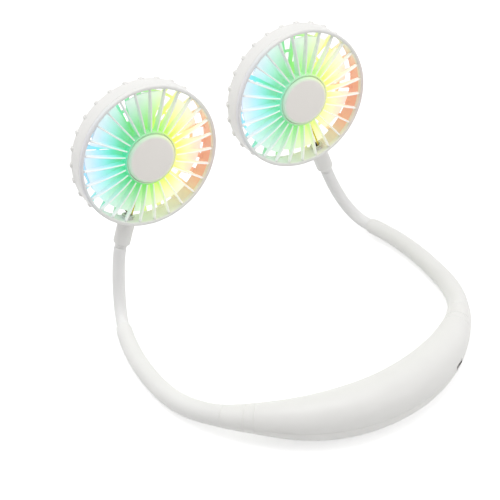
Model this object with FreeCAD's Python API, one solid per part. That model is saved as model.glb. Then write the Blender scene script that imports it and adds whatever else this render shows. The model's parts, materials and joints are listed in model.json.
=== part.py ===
import FreeCAD
import Part
import math
import os

# Electric neck fan: a horseshoe band that lies on its underside, with a fan head on each gooseneck.
# Millimetres and degrees. Origin at the centre of the housing's flat underside, +Y from the housing
# towards the heads, +X to the right, +Z up. A run is a distance along the band from the housing's middle.

Vector = FreeCAD.Vector
upward = Vector(0, 0, 1)

# Band path in plan: three tangent arcs on each side, each up to a heading
back_radius = 96.5
corner_radius = 67.5
arm_radius = 124.0
back_heading = 48.0
corner_heading = 83.5

# Lengths along the band
housing_half_length = 69.5
end_collar_length = 17.0
arm_flare_length = 13.0
arm_length = 95.0

# Band heights: the housing's axis is level, then the arms come down to the surface they lie on
housing_axis_height = 13.1
drop_start_run = 58.0
drop_length = 72.0
arm_end_lift = 0.9

# Band sections
housing_diameter = 27.9
arm_root_diameter = 11.6
arm_end_diameter = 9.2
arm_lip_round = 0.8
arm_lip_length = 4.0
sleeve_step = 0.25
taper_power_share = 1.3
section_height_share = 0.96
housing_section_count = 15
collar_section_count = 4
arm_section_count = 11

# Shared clearances and the overrun of every cut
overrun = 2.0
slip_gap = 0.1
loose_gap = 0.25
running_gap = 0.05
press_gap = 0.01
soft_gap = 0.2

# Housing shells
housing_wall = 1.6
parting_gap = 0.06
rib_thickness = 1.6
saddle_rib_offset = 15.0
ceiling_rib_width = 8.0

# Battery cell
battery_diameter = 18.2
battery_length = 49.5
battery_forward = 1.6
battery_cap_diameter = 6.0
battery_cap_height = 0.8

# Housing screws
screw_end_distance = 10.0
screw_inward = 4.6
screw_head_diameter = 3.8
screw_head_height = 1.3
screw_shank_diameter = 2.0
screw_length = 9.0
screw_boss_wall = 1.1
screw_recess = 3.2

# Control board and charging socket
board_run = 44.0
board_length = 20.0
board_width = 12.5
board_thickness = 1.0
board_outward = 1.4
board_rib_offset = 7.0
chip_length = 5.0
chip_width = 4.0
chip_height = 1.5
coil_diameter = 5.0
coil_height = 2.6
port_width = 7.5
port_depth = 5.0
port_height = 2.6
port_wall = 0.35
port_inset = 0.3
tongue_thickness = 0.7

# Power button and its switch, on the lower inner side of the housing's left end
button_run = -44.0
button_turn = 45.0
button_diameter = 8.0
button_proud = 0.5
button_flange_width = 0.8
button_flange_height = 0.9
button_travel = 0.5
switch_side = 6.0
switch_height = 3.4
switch_board_thickness = 1.0
plunger_diameter = 3.4
plunger_height = 1.2
switch_board_length = 15.0
switch_board_width = 6.0
switch_post_offset = 6.4
switch_post_width = 4.4

# Arm: support tube, cable and the collar's groove, nose and spigot
groove_distance = 4.5
groove_width = 0.7
groove_depth = 0.3
spigot_length = 5.5
nose_length = 5.5
nose_wall = 1.3
tube_diameter = 6.0
tube_wall = 1.1
tube_end_distance = 9.5
cable_diameter = 2.6
cable_start_run = 52.0

# Neck: sleeve, gooseneck hose and ferrule
neck_diameter = 6.8
gooseneck_diameter = 4.6
gooseneck_wall = 0.75
neck_plug_length = 5.5
gooseneck_plug_length = 8.5
neck_start_pull = 50.0
neck_end_pull = 24.0
ferrule_diameter = 5.6
ferrule_flange_diameter = 6.6
ferrule_flange_height = 1.5
gooseneck_socket_depth = 9.0
clip_diameter = 7.0
clip_thickness = 0.7
clip_shoulder = 0.3

# Fan head: place, turn and outer shape
head_inward = 33.0
head_ahead = 22.7
head_height = 93.3
head_raise = 9.9
left_head_lean = 21.5
right_head_lean = 16.7
left_head_turn = 3.5
right_head_turn = -2.9
head_diameter = 80.0
head_wall = 1.5
side_wall_depth = 9.6

# Front grille
bezel_width = 2.1
bezel_depth = 2.6
bezel_round = 0.9
lip_depth = 2.0
lip_thickness = 0.9
lip_notch_width = 11.0
vane_count = 27
vane_thickness = 1.1
vane_root_depth = 5.0
vane_tip_depth = 1.9
vane_tip_drop = 0.5
dome_rise = 2.2
dome_bulge = 0.8
vane_embed = 0.4
hub_diameter = 30.0
hub_wall = 1.0
hub_floor_thickness = 1.0
hub_floor_height = -1.8

# Centre cap
cap_height = 4.2
cap_plate = 1.6
cap_skirt = 1.5
cap_round = 0.8
cap_crown = 0.5
cap_gap = 0.4

# Rear shell
rear_depth = 4.4
rear_rib_count = 27
rear_rib_thickness = 2.6
rear_rib_depth = 1.8
rear_rib_proud = 0.9
rear_rib_reach = 2.0
rear_corner_radius = 3.4
rear_slope = 1.8
rear_hub_diameter = 32.0
rear_ring_width = 1.6
rear_ring_shares = (0.58, 0.8)
socket_diameter = 9.4
socket_length = 13.3
socket_round = 1.4
socket_setback = 7.4
socket_inner_reach = 1.1

# Motor
motor_diameter = 15.0
motor_length = 7.0
motor_wall = 0.8
motor_end = 1.0
motor_magnet = 0.8
motor_cup_wall = 1.3
motor_cup_height = 1.6
motor_nose_diameter = 6.0
motor_nose_height = 0.6
motor_screw_spacing = 9.0
motor_screw_diameter = 1.6
motor_screw_head_diameter = 2.8
motor_screw_head_height = 0.9
motor_screw_bite = 1.2
rotor_gap = 0.3
rotor_end_gap = 0.6
shaft_diameter = 2.0

# Impeller
blade_count = 7
blade_tip_gap = 4.9
blade_root_chord = 10.0
blade_middle_chord = 18.0
blade_tip_chord = 27.0
blade_root_pitch = 25.0
blade_middle_pitch = 15.5
blade_tip_pitch = 10.5
blade_root_thickness = 1.6
blade_tip_thickness = 1.0
blade_embed = 0.6
blade_set_back = 7.7
impeller_hub_diameter = 22.0
impeller_hub_wall = 1.2
impeller_hub_height = 6.6
impeller_hub_round = 1.5
impeller_front_gap = 0.8
impeller_boss_diameter = 5.0
impeller_boss_depth = 1.2
shaft_cover = 0.4

# Lamp board and lamps
lamp_board_diameter = 25.0
lamp_board_thickness = 1.0
lamp_count = 6
lamp_side = 2.8
lamp_height = 0.8
lamp_circle_diameter = 19.0

# Leads inside the head
lead_diameter = 1.4
lead_bend = 1.7
lead_inset = 3.4
lead_start = 1.5
lead_rear_gap = 0.3
lamp_lead_diameter = 0.8

# Places along the band that follow from the lengths
collar_end_run = housing_half_length + end_collar_length
taper_run = collar_end_run + arm_flare_length
joint_run = collar_end_run + arm_length
tube_end_run = joint_run - tube_end_distance


# Path and section of the band

def smooth_step(share):
    share = min(max(share, 0.0), 1.0)
    return share * share * (3.0 - 2.0 * share)


def band_radius(run):
    """Half the band's width: a bell from the housing's middle to the arm, then a straight taper."""
    distance = abs(run)
    if distance < taper_run:
        share = (distance / taper_run) ** taper_power_share
        bell = 0.5 + 0.5 * math.cos(math.pi * share)
        return (arm_root_diameter + (housing_diameter - arm_root_diameter) * bell) / 2
    share = (distance - taper_run) / (joint_run - taper_run)
    return (arm_root_diameter + (arm_end_diameter - arm_root_diameter) * share) / 2


arm_axis_height = band_radius(drop_start_run + drop_length)


def band_height(run):
    distance = abs(run)
    drop = smooth_step((distance - drop_start_run) / drop_length)
    lift_start = drop_start_run + drop_length
    lift = arm_end_lift * smooth_step((distance - lift_start) / (joint_run - lift_start))
    return housing_axis_height + (arm_axis_height - housing_axis_height) * drop + lift


def band_plan(run):
    """Point in plan and heading in radians at a run of zero or more."""
    first = math.radians(back_heading)
    second = math.radians(corner_heading)
    back_length = back_radius * first
    corner_length = corner_radius * (second - first)
    centre = Vector(0, back_radius, 0)
    corner_centre = centre + Vector(math.sin(first), -math.cos(first), 0) * (back_radius - corner_radius)
    arm_centre = corner_centre - Vector(math.sin(second), -math.cos(second), 0) * (arm_radius - corner_radius)
    if run <= back_length:
        heading = run / back_radius
        return centre + Vector(math.sin(heading), -math.cos(heading), 0) * back_radius, heading
    if run <= back_length + corner_length:
        heading = first + (run - back_length) / corner_radius
        return corner_centre + Vector(math.sin(heading), -math.cos(heading), 0) * corner_radius, heading
    heading = second + (run - back_length - corner_length) / arm_radius
    return arm_centre + Vector(math.sin(heading), -math.cos(heading), 0) * arm_radius, heading


def band_point(run):
    spot, heading = band_plan(abs(run))
    hand = -1 if run < 0 else 1
    return Vector(hand * spot.x, spot.y, band_height(run))


def axes_placement(origin, side, up, along):
    """Placement whose local X, Y and Z lie along three square directions."""
    turn = FreeCAD.Matrix(
        side.x, up.x, along.x, origin.x,
        side.y, up.y, along.y, origin.y,
        side.z, up.z, along.z, origin.z,
        0, 0, 0, 1)
    return FreeCAD.Placement(turn)


def path_placement(origin, along):
    """Placement of a section: local Z along a path, local X level and away from the wearer's neck."""
    along = Vector(along).normalize()
    side = along.cross(upward).normalize()
    return axes_placement(origin, side, along.cross(side), along)


def band_placement(run):
    """Placement of the band's section at a run."""
    half_step = overrun / 2
    along = band_point(run + half_step) - band_point(run - half_step)
    return path_placement(band_point(run), along)


def level_placement(run):
    """Placement in the level housing: local X away from the wearer's neck, Y along the band, Z up."""
    spot, heading = band_plan(abs(run))
    hand = -1 if run < 0 else 1
    along = Vector(math.cos(heading), hand * math.sin(heading), 0)
    origin = Vector(hand * spot.x, spot.y, housing_axis_height)
    return axes_placement(origin, along.cross(upward), along, upward)


def oval_wire(placement, half_width, half_height):
    """Oval of an outer and an inner half, which meet at its top and bottom."""
    oval = Part.Ellipse(Vector(0, 0, 0), half_width, half_height)
    quarter = math.pi / 2
    outer = Part.ArcOfEllipse(oval, -quarter, quarter).toShape()
    inner = Part.ArcOfEllipse(oval, quarter, 3 * quarter).toShape()
    wire = Part.Wire([outer, inner])
    wire.Placement = placement
    return wire


def half_oval_wire(placement, half_width, half_height, first_angle, gap):
    """Half of an oval from an angle on, closed by a chord a gap off the middle. A section's Y is down."""
    start = math.radians(first_angle) + math.asin(gap / half_height)
    end = math.radians(first_angle) + math.pi - math.asin(gap / half_height)
    oval = Part.Ellipse(Vector(0, 0, 0), half_width, half_height)
    arc = Part.ArcOfEllipse(oval, start, end).toShape()
    chord = Part.LineSegment(arc.Vertexes[1].Point, arc.Vertexes[0].Point).toShape()
    wire = Part.Wire([arc, chord])
    wire.Placement = placement
    return wire


def round_wire(placement, radius):
    ring = Part.Circle(Vector(0, 0, 0), upward, radius).toShape()
    ring.Placement = placement
    return Part.Wire([ring])


def spread(start, end, count):
    return [start + (end - start) * index / (count - 1) for index in range(count)]


def oval_loft(runs, inset):
    """Solid along the band with its oval section, drawn in by an inset."""
    wires = []
    for run in runs:
        radius = band_radius(run)
        wires.append(oval_wire(band_placement(run), radius - inset, radius * section_height_share - inset))
    return Part.makeLoft(wires, True, False)


def half_loft(runs, first_angle, gap):
    wires = []
    for run in runs:
        radius = band_radius(run)
        height = radius * section_height_share
        wires.append(half_oval_wire(band_placement(run), radius, height, first_angle, gap))
    return Part.makeLoft(wires, True, False)


def band_tube(start, end, radius):
    """Solid of constant round section along the band."""
    count = max(2, round(arm_section_count * (end - start) / arm_length) + 2)
    wires = [round_wire(band_placement(run), radius) for run in spread(start, end, count)]
    return Part.makeLoft(wires, True, False)


# Small solids

def block(placement, low, high):
    """Box between two corners given in a placement's own axes."""
    size = high - low
    box = Part.makeBox(size.x, size.y, size.z, low)
    box.Placement = placement.multiply(box.Placement)
    return box


def rod(base, direction, radius, length):
    return Part.makeCylinder(radius, length, base, direction)


def tube(inner, outer, low, high):
    """Ring about local Z between two heights."""
    wall = rod(Vector(0, 0, low), upward, outer, high - low)
    bore = rod(Vector(0, 0, low - overrun), upward, inner, high - low + 2 * overrun)
    return wall.cut(bore)


def profile_face(start, *steps):
    """Face in the XZ plane: a step of one point is a line, a step of two an arc through the first."""
    edges = []
    here = Vector(start[0], 0, start[1])
    for step in steps + (start,):
        if isinstance(step[0], tuple):
            through = Vector(step[0][0], 0, step[0][1])
            end = Vector(step[1][0], 0, step[1][1])
            edges.append(Part.Arc(here, through, end).toShape())
        else:
            end = Vector(step[0], 0, step[1])
            edges.append(Part.LineSegment(here, end).toShape())
        here = end
    return Part.Face(Part.Wire(edges))


def turned(start, *steps):
    return profile_face(start, *steps).revolve(Vector(0, 0, 0), upward, 360)


def plate(thickness, start, *steps):
    """Plate of an XZ profile, with its middle on the XZ plane."""
    face = profile_face(start, *steps)
    face.translate(Vector(0, -thickness / 2, 0))
    return face.extrude(Vector(0, thickness, 0))


def around(shape, count, first_angle):
    copies = []
    for index in range(count):
        copy = shape.copy()
        copy.rotate(Vector(0, 0, 0), upward, first_angle + 360.0 * index / count)
        copies.append(copy)
    return copies


def corner_round(centre, radius, angle):
    """Point of a rounded corner, at an angle from +X towards +Z."""
    turn = math.radians(angle)
    return (centre[0] + radius * math.cos(turn), centre[1] + radius * math.sin(turn))


def mirrored(shape):
    return shape.mirror(Vector(0, 0, 0), Vector(1, 0, 0))


# Housing: two shells on the band's path, split at the level of its axis

def battery_axis():
    return Vector(0, battery_forward, housing_axis_height)


def battery_space(gap):
    start = battery_axis() - Vector(battery_length / 2 + gap, 0, 0)
    return rod(start, Vector(1, 0, 0), battery_diameter / 2 + gap, battery_length + 2 * gap)


def battery_cell():
    start = battery_axis() + Vector(battery_length / 2 - battery_cap_height, 0, 0)
    can = rod(battery_axis() - Vector(battery_length / 2, 0, 0), Vector(1, 0, 0),
              battery_diameter / 2, battery_length - battery_cap_height)
    return can.fuse(rod(start, Vector(1, 0, 0), battery_cap_diameter / 2, battery_cap_height))


def screw_spot(side):
    """Foot of a housing screw's axis, level with the housing's axis."""
    place = level_placement(side * (housing_half_length - screw_end_distance))
    return place.multVec(Vector(-screw_inward, 0, 0))


def screw_seat_height():
    """Height of the face that a screw's head bears on."""
    half_height = band_radius(housing_half_length - screw_end_distance) * section_height_share
    return housing_axis_height - half_height + screw_recess + screw_head_height


def on_floor(spot, height):
    return Vector(spot.x, spot.y, height)


def housing_screw(side):
    spot = screw_spot(side)
    seat = screw_seat_height()
    head = rod(on_floor(spot, seat - screw_head_height), upward, screw_head_diameter / 2, screw_head_height)
    shank = rod(on_floor(spot, seat), upward, screw_shank_diameter / 2, screw_length)
    return head.fuse(shank)


def screw_space(side):
    spot = screw_spot(side)
    seat = screw_seat_height()
    recess = rod(on_floor(spot, 0), upward, screw_head_diameter / 2 + slip_gap, seat)
    hole = rod(on_floor(spot, seat - overrun), upward,
               screw_shank_diameter / 2 + running_gap, screw_length + overrun + slip_gap)
    return recess.fuse(hole)


def screw_boss(side):
    radius = screw_head_diameter / 2 + slip_gap + screw_boss_wall
    return rod(on_floor(screw_spot(side), 0), upward, radius, housing_axis_height + housing_diameter)


def board_place():
    return level_placement(board_run)


def board_top():
    return -port_height / 2


def board_rib(side):
    middle = side * board_rib_offset
    low = Vector(-housing_diameter, middle - rib_thickness / 2, -housing_diameter)
    high = Vector(housing_diameter, middle + rib_thickness / 2, board_top() - board_thickness)
    return block(board_place(), low, high)


def saddle_rib(side):
    middle = side * saddle_rib_offset
    low = Vector(middle - rib_thickness / 2, -housing_diameter, 0)
    high = Vector(middle + rib_thickness / 2, housing_diameter, housing_axis_height - loose_gap)
    return block(FreeCAD.Placement(), low, high)


def ceiling_rib(side):
    middle = side * saddle_rib_offset
    low = Vector(middle - rib_thickness / 2, battery_forward - ceiling_rib_width / 2,
                 housing_axis_height + battery_diameter / 4)
    high = Vector(middle + rib_thickness / 2, battery_forward + ceiling_rib_width / 2,
                  housing_axis_height + housing_diameter)
    return block(FreeCAD.Placement(), low, high)


def port_front():
    return band_radius(board_run) - port_inset


def port_space():
    half_width = port_width / 2 + loose_gap
    half_height = port_height / 2 + loose_gap
    low = Vector(port_front() - port_depth - loose_gap, -half_width, -half_height)
    high = Vector(port_front() + housing_wall + overrun, half_width, half_height)
    return block(board_place(), low, high)


def button_place():
    """Placement on the housing's axis with local Z out through the button and local X along the band."""
    place = level_placement(button_run)
    side = place.Rotation.multVec(Vector(1, 0, 0))
    along = place.Rotation.multVec(Vector(0, 1, 0))
    turn = math.radians(button_turn)
    out = side * -math.cos(turn) - upward * math.sin(turn)
    return axes_placement(place.Base, along, out.cross(along), out)


def button_surface():
    """Distance from the housing's axis to its outer face along the button's axis."""
    turn = math.radians(button_turn)
    width = band_radius(button_run)
    height = width * section_height_share
    return 1 / math.sqrt((math.cos(turn) / width) ** 2 + (math.sin(turn) / height) ** 2)


def button_flange_top():
    inner = band_radius(button_run) * section_height_share - housing_wall
    reach = button_diameter / 2 + button_flange_width
    return math.sqrt(inner ** 2 - reach ** 2) - slip_gap


def switch_board_top():
    flange_bottom = button_flange_top() - button_flange_height
    return flange_bottom - button_travel - slip_gap - plunger_height - switch_height


def switch_post(side):
    middle = side * switch_post_offset
    low = Vector(middle - rib_thickness / 2, -switch_post_width / 2, switch_board_top())
    high = Vector(middle + rib_thickness / 2, switch_post_width / 2, button_surface())
    return block(button_place(), low, high)


def placed(shape, placement):
    copy = shape.copy()
    copy.Placement = placement.multiply(copy.Placement)
    return copy


def power_button():
    top = button_surface() + button_proud
    stem = rod(Vector(0, 0, button_flange_top()), upward, button_diameter / 2, top - button_flange_top())
    flange = rod(Vector(0, 0, button_flange_top() - button_flange_height), upward,
                 button_diameter / 2 + button_flange_width, button_flange_height)
    return placed(stem.fuse(flange).removeSplitter(), button_place())


def tact_switch():
    base = switch_board_top()
    corner = Vector(-switch_side / 2, -switch_side / 2, base)
    body = Part.makeBox(switch_side, switch_side, switch_height, corner)
    plunger = rod(Vector(0, 0, base + switch_height), upward, plunger_diameter / 2, plunger_height)
    return placed(body.fuse(plunger), button_place())


def switch_board():
    bottom = switch_board_top() - switch_board_thickness
    corner = Vector(-switch_board_length / 2, -switch_board_width / 2, bottom)
    board = Part.makeBox(switch_board_length, switch_board_width, switch_board_thickness, corner)
    return placed(board, button_place())


def control_board():
    """Board with its driver chips and coil, as soldered together."""
    top = board_top()
    low = Vector(board_outward - board_width / 2, -board_length / 2, top - board_thickness)
    high = Vector(board_outward + board_width / 2, board_length / 2, top)
    board = block(board_place(), low, high)
    chip_row = low.x + board_width / 4
    parts = []
    for side in (-1, 1):
        middle = side * board_length / 5
        chip_low = Vector(chip_row - chip_width / 2, middle - chip_length / 2, top)
        chip_high = Vector(chip_row + chip_width / 2, middle + chip_length / 2, top + chip_height)
        parts.append(block(board_place(), chip_low, chip_high))
    coil_spot = Vector(board_outward, coil_diameter - board_length / 2, top)
    coil = rod(coil_spot, upward, coil_diameter / 2, coil_height)
    parts.append(placed(coil, board_place()))
    return board.fuse(parts).removeSplitter()


def charging_port():
    """Metal shell of the charging socket, open outwards, with its contact tongue."""
    back = port_front() - port_depth
    low = Vector(back, -port_width / 2, -port_height / 2)
    high = Vector(port_front(), port_width / 2, port_height / 2)
    shell = block(board_place(), low, high)
    hollow_low = low + Vector(port_wall, port_wall, port_wall)
    hollow_high = high + Vector(overrun, -port_wall, -port_wall)
    shell = shell.cut(block(board_place(), hollow_low, hollow_high))
    tongue_low = Vector(back, -port_width / 4, -tongue_thickness / 2)
    tongue_high = Vector(port_front() - port_depth / 4, port_width / 4, tongue_thickness / 2)
    return shell.fuse(block(board_place(), tongue_low, tongue_high)).removeSplitter()


def housing_shell(first_angle, gap, kept, cuts):
    """One half of the housing: hollow, but for the ribs, posts and bosses that are kept."""
    runs = spread(-housing_half_length, housing_half_length, housing_section_count)
    reach = housing_half_length + overrun
    cavity = oval_loft(spread(-reach, reach, housing_section_count), housing_wall).cut(kept)
    shell = half_loft(runs, first_angle, gap)
    for space in [cavity] + cuts:
        shell = shell.cut(space)
    return shell


def housing_upper_shell():
    kept = []
    for side in (-1, 1):
        kept += [ceiling_rib(side), screw_boss(side)]
    cuts = [battery_space(loose_gap), port_space(), screw_space(-1), screw_space(1)]
    return housing_shell(180, 0, kept, cuts)


def housing_lower_shell():
    kept = []
    for side in (-1, 1):
        kept += [saddle_rib(side), board_rib(side), switch_post(side), screw_boss(side)]
    button_hole = rod(Vector(0, 0, button_surface() - housing_wall - overrun), upward,
                      button_diameter / 2 + slip_gap, housing_wall + 2 * overrun)
    reach = back_radius
    floor = block(FreeCAD.Placement(), Vector(-reach, -reach, -housing_diameter), Vector(reach, reach, 0))
    cuts = [battery_space(loose_gap), port_space(), screw_space(-1), screw_space(1),
            placed(button_hole, button_place()), floor]
    return housing_shell(0, parting_gap, kept, cuts)


# Arms, on the right side of the band

def tube_bore():
    return tube_diameter / 2 + slip_gap


def nose_radius():
    return tube_bore() + nose_wall


def end_collar():
    """Tapered collar: a spigot in the housing's open end, and a nose that the arm sleeve is pushed over."""
    outer = oval_loft(spread(housing_half_length, collar_end_run, collar_section_count), 0)
    radius = band_radius(housing_half_length)
    inset = housing_wall + slip_gap
    spigot_runs = (housing_half_length - spigot_length, housing_half_length + housing_wall)
    spigot_wires = [oval_wire(band_placement(run), radius - inset, radius * section_height_share - inset)
                    for run in spigot_runs]
    spigot = Part.makeLoft(spigot_wires, True, False)
    nose = band_tube(collar_end_run - housing_wall, collar_end_run + nose_length, nose_radius())
    bore_start = housing_half_length - spigot_length - overrun
    bore = band_tube(bore_start, collar_end_run + nose_length + overrun, tube_bore())
    groove_start = housing_half_length + groove_distance
    groove_runs = (groove_start, groove_start + groove_width)
    groove = oval_loft(groove_runs, -overrun).cut(oval_loft(groove_runs, groove_depth))
    return outer.cut(groove).fuse([spigot, nose]).cut(bore)


def arm_sleeve():
    lip_run = joint_run - arm_lip_length
    wires = [round_wire(band_placement(run), band_radius(run) - sleeve_step)
             for run in spread(collar_end_run, lip_run, arm_section_count)]
    wires.append(round_wire(band_placement(joint_run), band_radius(joint_run) - arm_lip_round))
    body = Part.makeLoft(wires, True, False)
    bore = band_tube(collar_end_run - overrun, joint_run + overrun, tube_bore())
    nose_end = collar_end_run + nose_length + slip_gap
    nose_space = band_tube(collar_end_run - overrun, nose_end, nose_radius() + slip_gap)
    start, along = neck_start(1)
    plug_length = neck_plug_length + slip_gap
    plug_space = rod(start - along * plug_length, along, neck_diameter / 2 + slip_gap, plug_length + overrun)
    return body.cut([bore, nose_space, plug_space])


def arm_tube():
    start = housing_half_length - spigot_length / 2
    wall = band_tube(start, tube_end_run, tube_diameter / 2)
    return wall.cut(band_tube(start - overrun, tube_end_run + overrun, tube_diameter / 2 - tube_wall))


def arm_cable():
    return band_tube(cable_start_run, joint_run - gooseneck_plug_length - soft_gap, cable_diameter / 2)


# Fan head: local Z out of the face, local -Y towards the neck, heights from the bezel's front plane

head_radius = head_diameter / 2
shell_inner_radius = head_radius - head_wall
parting_height = -bezel_depth
wall_end_height = parting_height - side_wall_depth
rear_height = wall_end_height - rear_depth
rear_floor_height = rear_height + rear_rib_depth
hub_radius = hub_diameter / 2
hub_inner_radius = hub_radius - hub_wall
vane_root_bottom = dome_rise - vane_root_depth
hub_floor_top = hub_floor_height + hub_floor_thickness
lamp_board_bottom = hub_floor_height - lamp_board_thickness
impeller_top = lamp_board_bottom - lamp_height - impeller_front_gap
motor_top = rear_floor_height + motor_length
shaft_radius = shaft_diameter / 2
quarter_angle = 360.0 / 4


def front_grille():
    inner = head_radius - bezel_width
    lip_outer = shell_inner_radius - slip_gap
    lip_inner = lip_outer - lip_thickness
    lip_end = parting_height - lip_depth
    inner_corner = (inner + bezel_round, -bezel_round)
    outer_corner = (head_radius - bezel_round, -bezel_round)
    ring = turned(
        (inner, -bezel_round),
        (corner_round(inner_corner, bezel_round, 135), (inner + bezel_round, 0)),
        (head_radius - bezel_round, 0),
        (corner_round(outer_corner, bezel_round, 45), (head_radius, -bezel_round)),
        (head_radius, parting_height),
        (lip_outer, parting_height),
        (lip_outer, lip_end),
        (lip_inner, lip_end),
        (lip_inner, parting_height),
        (inner, parting_height))
    notch = Part.makeBox(lip_notch_width, head_radius, lip_depth + overrun,
                         Vector(-lip_notch_width / 2, -head_radius, lip_end - overrun))
    ring = ring.cut(notch)
    hub = tube(hub_inner_radius, hub_radius, vane_root_bottom, dome_rise)
    floor = rod(Vector(0, 0, hub_floor_height), upward, hub_inner_radius + hub_wall / 2, hub_floor_thickness)
    root = hub_radius - vane_embed
    tip = inner + vane_embed
    middle = (root + tip) / 2
    root_top = dome_rise - vane_tip_drop
    tip_top = -vane_tip_drop
    tip_bottom = tip_top - vane_tip_depth
    vane = plate(
        vane_thickness,
        (root, root_top),
        ((middle, (root_top + tip_top) / 2 + dome_bulge), (tip, tip_top)),
        (tip, tip_bottom),
        ((middle, (vane_root_bottom + tip_bottom) / 2 + dome_bulge / 2), (root, vane_root_bottom)))
    return ring.fuse([hub, floor] + around(vane, vane_count, quarter_angle)).removeSplitter()


def centre_cap():
    radius = hub_inner_radius - cap_gap
    plate_bottom = cap_height - cap_plate
    edge_top = cap_height - cap_crown
    corner = (radius - cap_round, edge_top - cap_round)
    crown_radius = (corner[0] ** 2 + cap_crown ** 2) / (2 * cap_crown)
    halfway = corner[0] / 2
    halfway_height = cap_height - crown_radius + math.sqrt(crown_radius ** 2 - halfway ** 2)
    return turned(
        (0, plate_bottom),
        (radius - cap_skirt, plate_bottom),
        (radius - cap_skirt, hub_floor_top),
        (radius, hub_floor_top),
        (radius, edge_top - cap_round),
        (corner_round(corner, cap_round, 45), (radius - cap_round, edge_top)),
        ((halfway, halfway_height), (0, cap_height)))


def rear_rib():
    """One rib of the rear grille, from its hub out and round the rim's edge onto the side wall."""
    root = rear_hub_diameter / 2 - vane_embed
    outer = head_radius + rear_rib_proud
    start = wall_end_height + rear_rib_reach
    slope_end = rear_height + rear_slope
    centre = (outer - rear_corner_radius, slope_end + rear_corner_radius)
    inner_radius = rear_corner_radius - rear_rib_depth
    return plate(
        rear_rib_thickness,
        (outer - rear_rib_depth, start),
        (head_radius, start),
        (outer, start - rear_rib_proud),
        (outer, centre[1]),
        (corner_round(centre, rear_corner_radius, -45), (centre[0], slope_end)),
        (root, rear_height),
        (root, rear_floor_height),
        (centre[0], slope_end + rear_rib_depth),
        (corner_round(centre, inner_radius, -45), (outer - rear_rib_depth, centre[1])))


def rear_rib_bottom(radius):
    """Height of the ribs' outer edge on the sloping back."""
    root = rear_hub_diameter / 2
    corner = head_radius + rear_rib_proud - rear_corner_radius
    return rear_height + rear_slope * (radius - root) / (corner - root)


def neck_socket():
    """Tube under the head that the neck's ferrule turns in, cut clear of the bezel."""
    axis_height = -socket_setback
    inner_end = shell_inner_radius - socket_inner_reach
    outer_start = head_radius - head_wall / 2
    radius = socket_diameter / 2
    length = head_radius + socket_length - outer_start
    corner = (radius - socket_round, length - socket_round)
    outer = turned(
        (0, 0),
        (radius, 0),
        (radius, corner[1]),
        (corner_round(corner, socket_round, 45), (corner[0], length)),
        (0, length))
    start = Vector(0, -outer_start, axis_height)
    outer = placed(outer, axes_placement(start, Vector(1, 0, 0), upward, Vector(0, -1, 0)))
    bezel_space = rod(Vector(0, 0, parting_height), upward, head_radius + slip_gap, bezel_depth + overrun)
    inner = rod(Vector(0, -inner_end, axis_height), Vector(0, -1, 0),
                radius - head_wall / 2, head_wall + socket_inner_reach)
    return outer.cut(bezel_space).fuse(inner)


def motor_screw_spots():
    return [Vector(side * motor_screw_spacing / 2, 0, rear_height) for side in (-1, 1)]


def rear_shell():
    wall = tube(shell_inner_radius, head_radius, wall_end_height, parting_height)
    hub = rod(Vector(0, 0, rear_height), upward, rear_hub_diameter / 2, rear_rib_depth)
    cup_inner = motor_diameter / 2 + slip_gap
    cup = tube(cup_inner, cup_inner + motor_cup_wall, rear_height + rear_rib_depth / 2,
               rear_floor_height + motor_cup_height)
    pieces = [hub, cup, neck_socket()] + around(rear_rib(), rear_rib_count, quarter_angle)
    for share in rear_ring_shares:
        radius = share * head_radius
        half_width = rear_ring_width / 2
        low = rear_rib_bottom(radius) + rear_rib_depth / 2 - half_width
        pieces.append(tube(radius - half_width, radius + half_width, low, low + rear_ring_width))
    shell = wall.fuse(pieces).removeSplitter()
    bore_start = Vector(0, -shell_inner_radius + socket_inner_reach + overrun, -socket_setback)
    bore = rod(bore_start, Vector(0, -1, 0), ferrule_diameter / 2 + running_gap, head_radius + socket_length)
    cuts = [bore]
    for spot in motor_screw_spots():
        cuts.append(rod(spot - Vector(0, 0, overrun), upward,
                        motor_screw_head_diameter / 2 + slip_gap, motor_screw_head_height + overrun))
        cuts.append(rod(spot, upward, motor_screw_diameter / 2 + running_gap, rear_rib_depth + overrun))
    return shell.cut(cuts)


def motor_screws():
    screws = []
    for spot in motor_screw_spots():
        head = rod(spot, upward, motor_screw_head_diameter / 2, motor_screw_head_height)
        shank = rod(spot + Vector(0, 0, motor_screw_head_height), upward, motor_screw_diameter / 2,
                    rear_rib_depth - motor_screw_head_height + motor_screw_bite)
        screws.append(head.fuse(shank).removeSplitter())
    return Part.makeCompound(screws)


def motor_chamber():
    """Lower and upper height of the space that the rotor turns in."""
    return rear_floor_height + motor_end, motor_top - motor_end


def motor_can():
    low, high = motor_chamber()
    can = rod(Vector(0, 0, rear_floor_height), upward, motor_diameter / 2, motor_length)
    nose = rod(Vector(0, 0, motor_top), upward, motor_nose_diameter / 2, motor_nose_height)
    chamber = rod(Vector(0, 0, low), upward, motor_diameter / 2 - motor_wall - motor_magnet, high - low)
    shaft_hole = rod(Vector(0, 0, rear_floor_height + motor_end / 2), upward,
                     shaft_radius + running_gap, motor_length + motor_nose_height + overrun)
    cuts = [chamber, shaft_hole]
    for spot in motor_screw_spots():
        cuts.append(rod(Vector(spot.x, spot.y, rear_floor_height), upward,
                        motor_screw_diameter / 2 + running_gap, motor_screw_bite + slip_gap))
    return can.fuse(nose).removeSplitter().cut(cuts)


def motor_rotor():
    low, high = motor_chamber()
    radius = motor_diameter / 2 - motor_wall - motor_magnet - rotor_gap
    return tube(shaft_radius + press_gap, radius, low + rotor_end_gap, high - rotor_end_gap)


def motor_shaft():
    low = rear_floor_height + motor_end / 2 + slip_gap
    return rod(Vector(0, 0, low), upward, shaft_radius, impeller_top - shaft_cover - slip_gap - low)


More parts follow.
